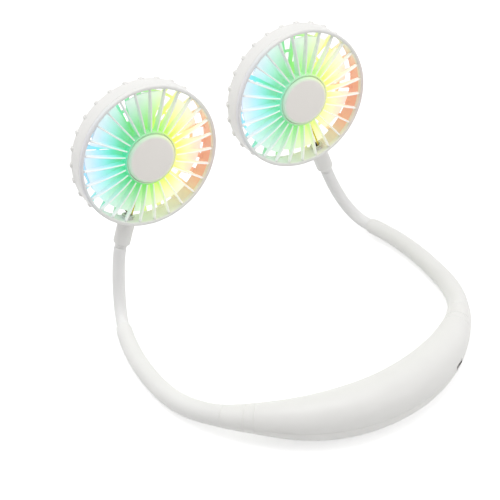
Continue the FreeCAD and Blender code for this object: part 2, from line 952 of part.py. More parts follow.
def blade_wire(radius, chord, pitch, thickness):
    """Blade section square to its radius, set at a pitch to the plane of rotation."""
    angle = math.radians(pitch)
    along = Vector(0, math.cos(angle), math.sin(angle)) * (chord / 2)
    across = Vector(0, -math.sin(angle), math.cos(angle)) * (thickness / 2)
    middle = Vector(radius, 0, -blade_set_back)
    corners = [middle + along + across, middle - along + across,
               middle - along - across, middle + along - across]
    return Part.makePolygon(corners + corners[:1])


def impeller():
    radius = impeller_hub_diameter / 2
    inner = radius - impeller_hub_wall
    bottom = impeller_top - impeller_hub_height
    plate_bottom = impeller_top - impeller_hub_wall
    corner = (radius - impeller_hub_round, impeller_top - impeller_hub_round)
    hub = turned(
        (0, plate_bottom),
        (inner, plate_bottom),
        (inner, bottom),
        (radius, bottom),
        (radius, impeller_top - impeller_hub_round),
        (corner_round(corner, impeller_hub_round, 45), (radius - impeller_hub_round, impeller_top)),
        (0, impeller_top))
    boss = rod(Vector(0, 0, plate_bottom - impeller_boss_depth), upward,
               impeller_boss_diameter / 2, impeller_boss_depth + impeller_hub_wall / 2)
    tip = shell_inner_radius - blade_tip_gap
    middle = (radius + tip) / 2
    middle_thickness = (blade_root_thickness + blade_tip_thickness) / 2
    blade = Part.makeLoft([
        blade_wire(radius - blade_embed, blade_root_chord, blade_root_pitch, blade_root_thickness),
        blade_wire(middle, blade_middle_chord, blade_middle_pitch, middle_thickness),
        blade_wire(tip + overrun, blade_tip_chord, blade_tip_pitch, blade_tip_thickness)], True, True)
    sweep = rod(Vector(0, 0, bottom), upward, tip, impeller_hub_height)
    blade = blade.common(sweep)
    wheel = hub.fuse([boss] + around(blade, blade_count, 0)).removeSplitter()
    bore = rod(Vector(0, 0, plate_bottom - impeller_boss_depth - overrun), upward,
               shaft_radius + press_gap, impeller_boss_depth + overrun + impeller_hub_wall - shaft_cover)
    return wheel.cut(bore)


def lamp_board():
    return tube(shaft_radius, lamp_board_diameter / 2, lamp_board_bottom, hub_floor_height)


def lamps():
    corner = Vector(lamp_circle_diameter / 2 - lamp_side / 2, -lamp_side / 2, lamp_board_bottom - lamp_height)
    lamp = Part.makeBox(lamp_side, lamp_side, lamp_height, corner)
    return Part.makeCompound(around(lamp, lamp_count, 0))


def clip_outer_place():
    """Distance from the head's axis to the face of the clip that bears on the socket's inner end."""
    return shell_inner_radius - socket_inner_reach - loose_gap


def ferrule_top_place():
    return clip_outer_place() - clip_thickness - clip_shoulder


def lead_tube(spots, diameter, bend):
    """Round lead in the head's upright plane, straight runs joined by tangent arcs at the inner points."""
    edges = []
    here = spots[0]
    for before, corner, after in zip(spots, spots[1:], spots[2:]):
        incoming = (corner - before).normalize()
        outgoing = (after - corner).normalize()
        set_back = bend * math.tan(incoming.getAngle(outgoing) / 2)
        arc_start = corner - incoming * set_back
        arc_end = corner + outgoing * set_back
        inward = (outgoing - incoming).normalize()
        centre_distance = bend / math.cos(incoming.getAngle(outgoing) / 2)
        arc_middle = corner + inward * (centre_distance - bend)
        edges.append(Part.LineSegment(here, arc_start).toShape())
        edges.append(Part.Arc(arc_start, arc_middle, arc_end).toShape())
        here = arc_end
    edges.append(Part.LineSegment(here, spots[-1]).toShape())
    first = (spots[1] - spots[0]).normalize()
    section = Part.Wire([Part.Circle(spots[0], first, diameter / 2).toShape()])
    return Part.Wire(edges).makePipeShell([section], True, False)


def head_leads():
    """Motor lead from the socket round the impeller to the motor, and lamp lead along a gap between vanes."""
    axis_height = -socket_setback
    turn_place = shell_inner_radius - lead_inset
    low = rear_rib_bottom(turn_place) + rear_rib_depth + lead_rear_gap + lead_diameter / 2
    spots = [Vector(0, -ferrule_top_place() - lead_start, axis_height),
             Vector(0, -turn_place, axis_height),
             Vector(0, -turn_place, low),
             Vector(0, -motor_diameter / 2 - running_gap, low)]
    motor_lead = lead_tube(spots, lead_diameter, lead_bend)
    radius = lamp_lead_diameter / 2
    outer_end = Vector(0, -turn_place, parting_height - radius - lamp_lead_diameter)
    inner_place = lamp_board_diameter / 2 - lamp_lead_diameter
    inner_end = Vector(0, -inner_place, lamp_board_bottom - radius - slip_gap)
    lamp_lead = rod(outer_end, inner_end - outer_end, radius, (inner_end - outer_end).Length)
    return Part.makeCompound([motor_lead, lamp_lead])


def head_place(side):
    """Placement of a head: its face looks back at the wearer, and its socket leans outwards."""
    joint, heading = band_plan(joint_run)
    centre = Vector(side * (joint.x - head_inward), joint.y + head_ahead, head_height)
    raise_angle = math.radians(head_raise)
    turn = math.radians(right_head_turn if side > 0 else left_head_turn)
    lean = math.radians(right_head_lean if side > 0 else left_head_lean)
    level = Vector(side * math.sin(turn), -math.cos(turn), 0)
    face = level * math.cos(raise_angle) + upward * math.sin(raise_angle)
    upright = upward * math.cos(raise_angle) - level * math.sin(raise_angle)
    up = upright * math.cos(lean) - upright.cross(face) * (side * math.sin(lean))
    return axes_placement(centre, up.cross(face), up, face)


# Necks: each gooseneck is set to the way that its own head is turned

def neck_start(side):
    """Where a neck leaves its arm, and the direction that it leaves in."""
    place = band_placement(side * joint_run)
    return place.Base, place.Rotation.multVec(Vector(0, 0, side))


def socket_axis(side):
    """Lower end of a head's socket, and the direction up into the head."""
    place = head_place(side)
    end = place.multVec(Vector(0, -head_radius - socket_length, -socket_setback))
    return end, place.Rotation.multVec(Vector(0, 1, 0))


def neck_end(side):
    """Where the neck sleeve meets the ferrule's flange."""
    end, up = socket_axis(side)
    return end - up * (ferrule_flange_height + 2 * soft_gap), up


def neck_tube(side, back, forward, radius):
    """Round solid along the neck's curve, run on straight past one or both of its ends."""
    start, leave = neck_start(side)
    end, arrive = neck_end(side)
    curve = Part.BezierCurve()
    curve.setPoles([start, start + leave * (neck_start_pull / 3), end - arrive * (neck_end_pull / 3), end])
    edges = [Part.LineSegment(start - leave * back, start).toShape(), curve.toShape()]
    if forward > 0:
        edges.append(Part.LineSegment(end, end + arrive * forward).toShape())
    section = Part.Wire([Part.Circle(start - leave * back, leave, radius).toShape()])
    return Part.Wire(edges).makePipeShell([section], True, False)


def gooseneck_reach():
    return soft_gap + ferrule_flange_height + gooseneck_socket_depth


def neck_sleeve(side):
    wall = neck_tube(side, neck_plug_length, 0, neck_diameter / 2)
    bore = neck_tube(side, neck_plug_length + overrun, overrun, gooseneck_diameter / 2 + slip_gap)
    return wall.cut(bore)


def gooseneck(side):
    wall = neck_tube(side, gooseneck_plug_length, gooseneck_reach(), gooseneck_diameter / 2)
    bore = neck_tube(side, gooseneck_plug_length + overrun, gooseneck_reach() + overrun,
                     gooseneck_diameter / 2 - gooseneck_wall)
    return wall.cut(bore)


def neck_cable(side):
    head_end = head_radius + socket_length - ferrule_top_place() - lead_start - soft_gap
    reach = soft_gap * 2 + ferrule_flange_height + head_end
    return neck_tube(side, gooseneck_plug_length, reach, cable_diameter / 2)


def neck_ferrule(side):
    """Ferrule on the hose's end: a flange against the sleeve and a shank that turns in the head's socket."""
    end, up = socket_axis(side)
    base = end - up * (ferrule_flange_height + soft_gap)
    length = head_radius + socket_length - ferrule_top_place()
    flange = rod(base, up, ferrule_flange_diameter / 2, ferrule_flange_height)
    shank = rod(base, up, ferrule_diameter / 2, ferrule_flange_height + soft_gap + length)
    bore = rod(base - up * overrun, up, gooseneck_diameter / 2 + running_gap,
               length + ferrule_flange_height + soft_gap + 2 * overrun)
    return flange.fuse(shank).removeSplitter().cut(bore)


def neck_clip(side):
    """Ring on the ferrule's inner end that keeps it in the socket."""
    end, up = socket_axis(side)
    base = end + up * (head_radius + socket_length - clip_outer_place())
    ring = rod(base, up, clip_diameter / 2, clip_thickness)
    hole = rod(base - up * overrun, up, ferrule_diameter / 2 + press_gap, clip_thickness + 2 * overrun)
    return ring.cut(hole)


# Every node of the part

def build_parts():
    parts = {
        "housing_upper_shell": housing_upper_shell(),
        "housing_lower_shell": housing_lower_shell(),
        "housing_screws": Part.makeCompound([housing_screw(-1), housing_screw(1)]),
        "battery_cell": battery_cell(),
        "control_board": control_board(),
        "charging_port": charging_port(),
        "power_button": power_button(),
        "tact_switch": tact_switch(),
        "switch_board": switch_board(),
    }
    arm_pieces = {
        "end_collar": end_collar(),
        "arm_sleeve": arm_sleeve(),
        "arm_tube": arm_tube(),
        "arm_cable": arm_cable(),
    }
    for name, shape in arm_pieces.items():
        parts["right_" + name] = shape
        parts["left_" + name] = mirrored(shape)
    head_pieces = {
        "front_grille": front_grille(),
        "centre_cap": centre_cap(),
        "rear_shell": rear_shell(),
        "motor_can": motor_can(),
        "motor_screws": motor_screws(),
        "motor_rotor": motor_rotor(),
        "motor_shaft": motor_shaft(),
        "impeller": impeller(),
        "lamp_board": lamp_board(),
        "lamps": lamps(),
        "head_leads": head_leads(),
    }
    for hand, side in (("right_", 1), ("left_", -1)):
        parts[hand + "neck_sleeve"] = neck_sleeve(side)
        parts[hand + "gooseneck"] = gooseneck(side)
        parts[hand + "neck_cable"] = neck_cable(side)
        parts[hand + "neck_ferrule"] = neck_ferrule(side)
        parts[hand + "neck_clip"] = neck_clip(side)
        for name, shape in head_pieces.items():
            parts[hand + name] = placed(shape, head_place(side))
    return parts


os.makedirs("parts", exist_ok=True)
for node, solid in build_parts().items():
    solid.exportStep("parts/" + node + ".step")
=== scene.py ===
import bmesh
import bpy
import json
from math import asin, copysign, cos, pi, radians, sin, sqrt
from mathutils import Matrix, Vector


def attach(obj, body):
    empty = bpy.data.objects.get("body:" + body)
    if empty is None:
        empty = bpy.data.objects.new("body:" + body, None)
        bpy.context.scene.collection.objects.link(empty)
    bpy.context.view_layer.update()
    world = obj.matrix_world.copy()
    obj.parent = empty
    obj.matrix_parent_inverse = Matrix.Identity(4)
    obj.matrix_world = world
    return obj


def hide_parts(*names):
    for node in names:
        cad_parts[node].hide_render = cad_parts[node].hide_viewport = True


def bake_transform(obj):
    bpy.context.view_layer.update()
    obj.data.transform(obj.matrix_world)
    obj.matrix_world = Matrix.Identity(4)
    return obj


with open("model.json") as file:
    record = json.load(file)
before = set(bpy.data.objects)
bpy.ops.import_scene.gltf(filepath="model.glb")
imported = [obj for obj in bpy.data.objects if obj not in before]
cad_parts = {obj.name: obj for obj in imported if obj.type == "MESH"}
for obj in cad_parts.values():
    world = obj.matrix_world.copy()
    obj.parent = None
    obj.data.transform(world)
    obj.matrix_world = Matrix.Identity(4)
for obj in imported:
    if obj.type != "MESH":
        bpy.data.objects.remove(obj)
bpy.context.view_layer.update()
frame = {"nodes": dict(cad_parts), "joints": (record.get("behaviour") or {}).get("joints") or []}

# Electric neck fan, dressed around its CAD frame. Metres and degrees, in the frame's axes.
# A run is a distance along the band from the housing's middle.
scene = bpy.context.scene

# Band path in plan: three tangent arcs on each side, as radius and heading at the end
band_arcs = ((0.0965, 48.0), (0.0675, 83.5), (0.124, 180.0))

# Lengths and heights along the band
housing_half = 0.0695
end_collar_length = 0.017
arm_flare_length = 0.013
arm_length = 0.095
housing_axis_height = 0.0131
drop_start_run = 0.058
drop_length = 0.072
arm_end_lift = 0.0009

# Band sections
housing_diameter = 0.0279
arm_root_diameter = 0.0116
arm_end_diameter = 0.0092
taper_power = 1.3
section_height_share = 0.96
housing_wall = 0.0016
edge_round = 0.0003
parting_round = 0.00022
arm_lip_length = 0.004
arm_lip_round = 0.0008
arm_lip_start_share = 0.1
sleeve_step = 0.00025
plug_depth = 0.005
collar_groove_distance = 0.00485
collar_groove_width = 0.0007
collar_groove_depth = 0.0003

# Charging socket, power button and screws in the housing
port_run = 0.044
port_width = 0.0075
port_height = 0.0026
port_clearance = 0.00025
port_corner = 0.0006
port_cut_depth = 3 * housing_wall
button_run = -0.044
button_turn = 45.0
button_diameter = 0.008
button_clearance = 0.0001
button_flange_width = 0.0008
button_flange_height = 0.0009
button_round = 0.0006
button_dish = 0.0004
button_dish_share = 0.95
button_cut_span = (0.006, 0.02)
screw_run = 0.0595
screw_inward = 0.0046
screw_recess_diameter = 0.004
screw_head_diameter = 0.0038
screw_head_height = 0.0013
screw_shank_diameter = 0.002
screw_cut_span = (-0.01, 0.0085)

# Screw heads, as shares of their height and diameter
screw_corner_share = 0.35
cross_depth_share = 0.55
cross_corner_share = 0.05
cross_half_length_share = 0.31
cross_half_width_share = 0.085

# Neck
neck_diameter = 0.0068
neck_start_pull = 0.050
neck_end_pull = 0.024
neck_end_setback = 0.0019
hose_diameter = 0.0046
hose_plug_length = 0.0085
hose_socket_length = 0.0107
hose_groove_depth = 0.00035
cable_diameter = 0.0026
cable_head_length = 0.0173

# Fan head
head_diameter = 0.080
head_wall = 0.0015
side_wall_depth = 0.0096
bezel_width = 0.0021
bezel_depth = 0.0026
bezel_round = 0.0009
vane_count = 27
vane_thickness = 0.0011
vane_front_thickness = 0.0007
vane_round = 0.0002
vane_root_depth = 0.005
vane_tip_depth = 0.0019
vane_tip_drop = 0.0005
dome_rise = 0.0022
dome_bulge = 0.0008
hub_diameter = 0.030
hub_wall = 0.001
hub_floor_thickness = 0.001
hub_floor_height = -0.0018
cap_height = 0.0042
cap_plate = 0.0016
cap_skirt = 0.0015
cap_round = 0.0019
cap_crown = 0.0005
cap_gap = 0.0004
rear_depth = 0.0044
rear_rib_count = 27
rear_rib_thickness = 0.0026
rear_rib_depth = 0.0018
rear_rib_proud = 0.0009
rear_rib_reach = 0.002
rear_corner_radius = 0.0034
rear_slope = 0.0018
rear_hub_diameter = 0.032
rear_ring_width = 0.0016
rear_ring_shares = (0.58, 0.8)
motor_cup_diameter = 0.0152
motor_cup_wall = 0.0013
motor_cup_height = 0.0016
motor_screw_spacing = 0.009
motor_screw_recess_diameter = 0.003
motor_screw_head_diameter = 0.0028
motor_screw_head_height = 0.0009
motor_screw_diameter = 0.0016
motor_screw_bite = 0.0012
motor_screw_cut_margin = 0.001
socket_diameter = 0.0094
socket_bore = 0.0057
socket_length = 0.0133
socket_setback = 0.0074
socket_round = 0.0014

# Impeller
blade_count = 7
blade_tip_gap = 0.0049
blade_chords = (0.0098, 0.0178, 0.0252)
blade_pitches = (25.0, 15.5, 10.8)
blade_thicknesses = (0.0016, 0.0013, 0.001)
blade_set_back = 0.0077
blade_edge_power = 0.7
wheel_hub_diameter = 0.022
wheel_hub_wall = 0.0012
wheel_hub_height = 0.0066
wheel_hub_round = 0.0015
wheel_top = -0.0044

# Camera: what it looks at, from where and through which lens
camera_aim = (0.01575, 0.15188, 0.0)
camera_distance = 1.2
camera_azimuth = -32.97
camera_elevation = 39.37
camera_lens = 152.17

# Mesh fineness: points round a ring, rings along a piece, points of a rounded edge
ring_points = 48
fine_points = 144
neck_points = 32
hose_points = 20
cable_points = 16
blade_points = 24
housing_rings = 97
collar_rings = 24
sleeve_rings = 80
arm_lip_rings = 8
plug_rings = 6
neck_rings = 72
hose_rings = 241
hose_coil_rings = 5
cable_rings = 48
vane_rings = 15
blade_rings = 14
round_points = 7
corner_points = 6
dish_points = 12
cap_round_points = 8
cap_dome_points = 10
rib_corner_points = 9
rib_slope_points = 6
sharp_angle = 32.0

sides = {"left": -1, "right": 1}

collar_end_run = housing_half + end_collar_length
taper_run = collar_end_run + arm_flare_length
joint_run = collar_end_run + arm_length


# Small helpers

def spread(start, end, count):
    return [start + (end - start) * index / (count - 1) for index in range(count)]


def smooth_step(share):
    share = min(max(share, 0.0), 1.0)
    return share * share * (3.0 - 2.0 * share)


def full_turn(count):
    """Even angles round a circle."""
    return [2 * pi * index / count for index in range(count)]


def ellipse(spot, side, up, width, height, count):
    return [spot + side * (width * cos(a)) + up * (height * sin(a)) for a in full_turn(count)]


def add_object(name, data):
    thing = bpy.data.objects.new(name, data)
    scene.collection.objects.link(thing)
    return thing


def face_outward(work):
    """Turns the faces of every closed shell outward."""
    bmesh.ops.recalc_face_normals(work, faces=work.faces)
    left = set(work.faces)
    while left:
        waiting = [left.pop()]
        shell = []
        volume = 0.0
        while waiting:
            face = waiting.pop()
            shell.append(face)
            spots = [vertex.co for vertex in face.verts]
            volume += sum(spots[0].dot(second.cross(third)) for second, third in zip(spots[1:], spots[2:]))
            joined = {other for edge in face.edges for other in edge.link_faces} & left
            left -= joined
            waiting += joined
        if volume < 0:
            bmesh.ops.reverse_faces(work, faces=shell)


def make_object(name, build):
    """New smooth-shaded object from a mesh that build draws into an empty bmesh."""
    work = bmesh.new()
    build(work)
    bmesh.ops.remove_doubles(work, verts=work.verts, dist=1e-7)
    face_outward(work)
    mesh = bpy.data.meshes.new(name)
    work.to_mesh(mesh)
    work.free()
    mesh.shade_smooth()
    mesh.set_sharp_from_angle(angle=radians(sharp_angle))
    return add_object(name, mesh)


def add_rings(work, rings):
    """Skin over closed rings of points, with flat ends."""
    rows = [[work.verts.new(point) for point in ring] for ring in rings]
    count = len(rows[0])
    for row, following in zip(rows, rows[1:]):
        for index in range(count):
            after = (index + 1) % count
            work.faces.new((row[index], row[after], following[after], following[index]))
    work.faces.new(rows[0][::-1])
    work.faces.new(rows[-1])


def add_around(work, rings, angles):
    """The same skin at several angles about Z."""
    for angle in angles:
        turn = Matrix.Rotation(angle, 4, "Z")
        add_rings(work, [[turn @ spot for spot in ring] for ring in rings])


def skin(name, rings):
    return make_object(name, lambda work: add_rings(work, rings))


def add_turned(work, profile, count, turn=Matrix.Identity(4)):
    """Closed profile of (radius, height) points turned about local Z."""
    rows = [[work.verts.new(turn @ Vector((r * cos(a), r * sin(a), z))) for r, z in profile]
            for a in full_turn(count)]
    for row, following in zip(rows, rows[1:] + rows[:1]):
        for step in range(len(profile)):
            after = (step + 1) % len(profile)
            turned = [following[at] for at in (step, after) if profile[at][0] > 0]
            if turned:
                work.faces.new([row[step], *turned, row[after]])


def arc_points(centre, radius, start, end, count):
    """Points of an arc in a profile, angles in degrees from +radius towards +height."""
    return [(centre[0] + radius * cos(radians(a)), centre[1] + radius * sin(radians(a)))
            for a in spread(start, end, count)]


def cut_out(piece, cutters):
    """Takes the cutters' shapes out of a piece, then removes the cutters."""
    for cutter in cutters:
        modifier = piece.modifiers.new("cut", "BOOLEAN")
        modifier.object = cutter
        modifier.solver = "EXACT"
    bpy.context.view_layer.update()
    mesh = bpy.data.meshes.new_from_object(piece.evaluated_get(bpy.context.evaluated_depsgraph_get()))
    piece.modifiers.clear()
    piece.data = mesh
    mesh.set_sharp_from_angle(angle=radians(sharp_angle))
    for cutter in cutters:
        bpy.data.objects.remove(cutter)


def dress(piece, material, node):
    """Paints a piece and lets it stand for its CAD node."""
    piece.data.materials.clear()
    piece.data.materials.append(material)
    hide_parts(node)


def finish_piece(piece, material, body, node):
    """Dresses a piece and hangs it on its body."""
    dress(piece, material, node)
    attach(piece, body)


# Band path and sections

def band_radius(run):
    """Half the band's width: a bell from the housing's middle to the arm, then a straight taper."""
    distance = abs(run)
    if distance < taper_run:
        share = (distance / taper_run) ** taper_power
        bell = 0.5 + 0.5 * cos(pi * share)
        return (arm_root_diameter + (housing_diameter - arm_root_diameter) * bell) / 2
    share = (distance - taper_run) / (joint_run - taper_run)
    return (arm_root_diameter + (arm_end_diameter - arm_root_diameter) * share) / 2


def band_height(run):
    distance = abs(run)
    lift_start = drop_start_run + drop_length
    drop = smooth_step((distance - drop_start_run) / drop_length)
    lift = arm_end_lift * smooth_step((distance - lift_start) / (joint_run - lift_start))
    return housing_axis_height + (band_radius(lift_start) - housing_axis_height) * drop + lift


def band_point(run):
    """Point of the band's axis at a run, negative on the left."""
    left = abs(run)
    x = y = heading = 0.0
    for radius, last in band_arcs:
        start = heading
        heading = min(start + left / radius, radians(last))
        x += radius * (sin(heading) - sin(start))
        y += radius * (cos(start) - cos(heading))
        left -= radius * (heading - start)
    return Vector((copysign(x, run), y, band_height(run)))


def band_frame(run):
    """Point, direction away from the wearer's neck, upward direction and direction along the band."""
    half_step = 0.0005
    along = (band_point(run + half_step) - band_point(run - half_step)).normalized()
    side = along.cross(Vector((0, 0, 1))).normalized()
    return band_point(run), side, side.cross(along), along


def band_ring(run, inset=0.0, height_share=1.0):
    spot, side, up, along = band_frame(run)
    radius = band_radius(run)
    return ellipse(spot, side, up, radius - inset, radius * height_share - inset, ring_points)


# Housing

def shell_ring(run, hand, end_inset):
    """Closed section of one housing half: outer arc, softened parting edges and inner arc."""
    spot, side, up, along = band_frame(run)
    radius = band_radius(run)
    width = radius - end_inset
    height = radius * section_height_share - end_inset
    inner_width = radius - housing_wall
    inner_height = radius * section_height_share - housing_wall
    count = ring_points // 2
    lift = parting_round
    start = asin(lift / height)
    ring = [(width - lift, 0.0)]
    ring += [(width * cos(a), height * sin(a)) for a in spread(start, pi - start, count)]
    ring += [(lift - width, 0.0)]
    ring += [(inner_width * cos(a), inner_height * sin(a)) for a in spread(pi, 0.0, count)]
    points = [spot + side * x + up * (hand * y) for x, y in ring]
    return [Vector((p.x, p.y, max(p.z, 0.0))) for p in points]


def housing_shell(name, hand):
    end = housing_half
    rings = [shell_ring(-end, hand, edge_round)]
    rings += [shell_ring(run, hand, 0.0) for run in spread(edge_round - end, end - edge_round, housing_rings)]
    return skin(name, rings + [shell_ring(end, hand, edge_round)])


def frame_matrix(origin, x_axis, y_axis, z_axis):
    turn = Matrix((x_axis, y_axis, z_axis)).transposed().to_4x4()
    return Matrix.Translation(origin) @ turn


def button_matrix():
    spot, side, up, along = band_frame(button_run)
    turn = radians(button_turn)
    out = side * -cos(turn) - up * sin(turn)
    return frame_matrix(spot, along, out.cross(along), out)


def box_cutter(half_width, half_height, low, high, corner, turn):
    """Block along local Z with rounded corners."""
    ring = []
    for x, y, start in ((1, 1, 0), (-1, 1, 90), (-1, -1, 180), (1, -1, 270)):
        centre = (x * (half_width - corner), y * (half_height - corner))
        ring += arc_points(centre, corner, start, start + 90, corner_points)
    return skin("cutter", [[turn @ Vector((x, y, z)) for x, y in ring] for z in (low, high)])


def rod_cutter(radius, low, high, turn):
    circle = [(radius * cos(a), radius * sin(a)) for a in full_turn(ring_points)]
    return skin("cutter", [[turn @ Vector((x, y, z)) for x, y in circle] for z in (low, high)])


def port_cutter():
    spot, side, up, along = band_frame(port_run)
    place = frame_matrix(spot + side * band_radius(port_run), along, up, side)
    return box_cutter(port_width / 2 + port_clearance, port_height / 2 + port_clearance,
                      -port_cut_depth, housing_wall, port_corner, place)


def screw_place(hand):
    spot, side, up, along = band_frame(hand * screw_run)
    foot = spot - side * screw_inward
    return Matrix.Translation(Vector((foot.x, foot.y, 0.0)))


def make_screws(name, places, head_diameter, head_height, shank_diameter, length):
    """Screws along local Z with their heads' faces at 0 and a cross in each head."""
    radius = head_diameter / 2
    corner = head_height * screw_corner_share
    shank = shank_diameter / 2
    profile = [(0.0, 0.0)] + arc_points((radius - corner, corner), corner, -90, 0, corner_points)
    profile += [(radius, head_height), (shank, head_height), (shank, length - shank / 2), (shank / 2, length),
                (0.0, length)]

    def build(work):
        for place in places:
            add_turned(work, profile, ring_points, place)
    piece = make_object(name, build)
    long, short = head_diameter * cross_half_length_share, head_diameter * cross_half_width_share
    cut_out(piece, [box_cutter(*halves, -head_height, head_height * cross_depth_share,
                               head_diameter * cross_corner_share, place)
                    for place in places for halves in ((long, short), (short, long))])
    return piece


def node_span(node, place):
    """Lowest and highest point of a CAD node along a place's Z."""
    heights = [(place.inverted() @ vertex.co).z for vertex in frame["nodes"][node].data.vertices]
    return min(heights), max(heights)


def power_button():
    """Button with a rounded edge, a shallow dish and the flange that keeps it in."""
    place = button_matrix()
    low, top = node_span("power_button", place)
    radius = button_diameter / 2
    flange = radius + button_flange_width
    shoulder = low + button_flange_height
    flat = radius - button_round
    profile = [(0.0, low), (flange, low), (flange, shoulder), (radius, shoulder)]
    profile += arc_points((flat, top - button_round), button_round, 0, 90, round_points)
    profile += [(flat * share, top - button_dish * smooth_step((1 - share) * 2))
                for share in spread(button_dish_share, 0.0, dish_points)]
    return make_object("button", lambda work: add_turned(work, profile, ring_points, place))


def build_housing(paint):
    upper = housing_shell("housing_upper", 1)
    cut_out(upper, [port_cutter()])
    lower = housing_shell("housing_lower", -1)
    hole = rod_cutter(button_diameter / 2 + button_clearance, *button_cut_span, button_matrix())
    recesses = [rod_cutter(screw_recess_diameter / 2, *screw_cut_span, screw_place(hand)) for hand in sides.values()]
    cut_out(lower, [port_cutter(), hole] + recesses)
    for piece, node in ((upper, "housing_upper_shell"), (lower, "housing_lower_shell")):
        finish_piece(piece, paint["shell"], "band", node)
    low, high = node_span("housing_screws", Matrix.Identity(4))
    places = [Matrix.Translation((0, 0, low)) @ screw_place(hand) for hand in sides.values()]
    screws = make_screws("housing_screw_pair", places, screw_head_diameter, screw_head_height,
                         screw_shank_diameter, high - low)
    finish_piece(screws, paint["dark_steel"], "band", "housing_screws")
    finish_piece(power_button(), paint["cap"], "power_button", "power_button")


# Arms

def end_collar(side, hand):
    start, end = housing_half, collar_end_run
    groove = start + collar_groove_distance
    half = collar_groove_width / 2
    runs = [(start, edge_round), (start + edge_round, 0.0)]
    runs += [(run, 0.0) for run in spread(start + 2 * edge_round, end - 2 * edge_round, collar_rings)]
    runs = [pair for pair in runs if abs(pair[0] - groove) > half]
    runs += [(groove - half, 0.0), (groove - half / 2, collar_groove_depth),
             (groove + half / 2, collar_groove_depth), (groove + half, 0.0)]
    runs += [(end - edge_round, 0.0), (end, edge_round)]
    return skin(side + "_collar", [band_ring(hand * run, inset, section_height_share) for run, inset in sorted(runs)])


def arm_sleeve(side, hand):
    lip_start = joint_run - arm_lip_length
    runs = [(collar_end_run, sleeve_step + edge_round)]
    runs += [(run, sleeve_step) for run in spread(collar_end_run + edge_round, lip_start, sleeve_rings)]
    for share in spread(arm_lip_start_share, 1.0, arm_lip_rings):
        drop = sleeve_step + (arm_lip_round - sleeve_step) * (1 - sqrt(1 - share * share))
        runs.append((lip_start + arm_lip_length * share, drop))
    mouth = band_radius(joint_run) - neck_diameter / 2 - edge_round
    runs += [(joint_run, mouth), (joint_run - plug_depth, mouth)]
    return skin(side + "_arm", [band_ring(hand * run, inset) for run, inset in runs])


def build_arms(paint):
    for side, hand in sides.items():
        finish_piece(end_collar(side, hand), paint["shell"], "band", side + "_end_collar")
        finish_piece(arm_sleeve(side, hand), paint["sleeve"], "band", side + "_arm_sleeve")


# Necks

def head_matrix(side):
    """The head's own axes: X across the face, Y up from the socket, Z out of the face."""
    joints = {joint["name"]: joint for joint in frame["joints"]}
    spin = joints[side + "_fan_spin"]
    face = Vector(spin["axis"]).normalized()
    up = Vector(joints[side + "_head_swivel"]["axis"]).normalized()
    return frame_matrix(Vector(spin["pos_m"]), up.cross(face), up, face)


def neck_ends(side):
    """Where the neck leaves the arm and where it meets the socket, each with its direction."""
    hand = sides[side]
    start, outward, up, along = band_frame(hand * joint_run)
    leave = along * hand
    place = head_matrix(side)
    arrive = (place.to_3x3() @ Vector((0, 1, 0))).normalized()
    end = place @ Vector((0, -head_diameter / 2 - socket_length, -socket_setback)) - arrive * neck_end_setback
    return start, leave, end, arrive


def neck_path(side, back, forward, count):
    """Points and directions along the neck, run on straight past its ends."""
    start, leave, end, arrive = neck_ends(side)
    first = start + leave * (neck_start_pull / 3)
    last = end - arrive * (neck_end_pull / 3)
    path = [(start - leave * run, leave) for run in spread(back, 0.0, plug_rings)[:-1]]
    for share in spread(0.0, 1.0, count):
        rest = 1.0 - share
        spot = (start * rest ** 3 + first * (3 * rest ** 2 * share)
                + last * (3 * rest * share ** 2) + end * share ** 3)
        along = (first - start) * rest ** 2 + (last - first) * (2 * rest * share) + (end - last) * share ** 2
        path.append((spot, along.normalized()))
    path += [(end + arrive * run, arrive) for run in spread(0.0, forward, plug_rings)[1:]]
    return path


def neck_ring(spot, along, radius, count):
    side = along.cross(Vector((0, 0, 1))).normalized()
    return ellipse(spot, side, side.cross(along), radius, radius, count)


def neck_sleeve(side):
    path = neck_path(side, plug_depth, 0.0, neck_rings)[:1 - plug_rings]
    radius = neck_diameter / 2
    rings = [neck_ring(spot, along, radius, neck_points) for spot, along in path]
    end, arrive = path[-1]
    rings[-1] = neck_ring(end - arrive * edge_round, arrive, radius, neck_points)
    for rim in (radius - edge_round, hose_diameter / 2 + edge_round):
        rings.append(neck_ring(end, arrive, rim, neck_points))
    return skin(side + "_neck", rings)


def gooseneck(side):
    """Wound hose: a round coil profile repeated along the neck."""
    rings = []
    for index, (spot, along) in enumerate(neck_path(side, hose_plug_length, hose_socket_length, hose_rings)):
        wave = 0.5 - 0.5 * cos(2 * pi * index / hose_coil_rings)
        rings.append(neck_ring(spot, along, hose_diameter / 2 - hose_groove_depth * wave, hose_points))
    return skin(side + "_hose", rings)


def neck_cable(side):
    path = neck_path(side, hose_plug_length, cable_head_length, cable_rings)
    return skin(side + "_cable", [neck_ring(spot, along, cable_diameter / 2, cable_points) for spot, along in path])


def build_necks(paint):
    for side in sides:
        start, leave, end, arrive = neck_ends(side)
        for build, paint_name, slot, node in (
                (neck_sleeve, "neck", "soft_grey", "_neck_sleeve"), (gooseneck, "steel", "steel", "_gooseneck"),
                (neck_cable, "cable", "cable_dark", "_neck_cable")):
            piece = build(side)
            dress(piece, paint[paint_name], side + node)
            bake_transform(piece)


# Fan heads, drawn in the head's own axes with heights from the bezel's front plane

head_radius = head_diameter / 2
parting_height = -bezel_depth
wall_end = parting_height - side_wall_depth
rear_height = wall_end - rear_depth
rear_floor = rear_height + rear_rib_depth
hub_radius = hub_diameter / 2
hub_inner = hub_radius - hub_wall
hub_floor_top = hub_floor_height + hub_floor_thickness
rear_slope_radii = (rear_hub_diameter / 2, head_radius + rear_rib_proud - rear_corner_radius)


def from_top(count):
    """Even angles round the head, the first at its top."""
    return [radians(90 + 360 * index / count) for index in range(count)]


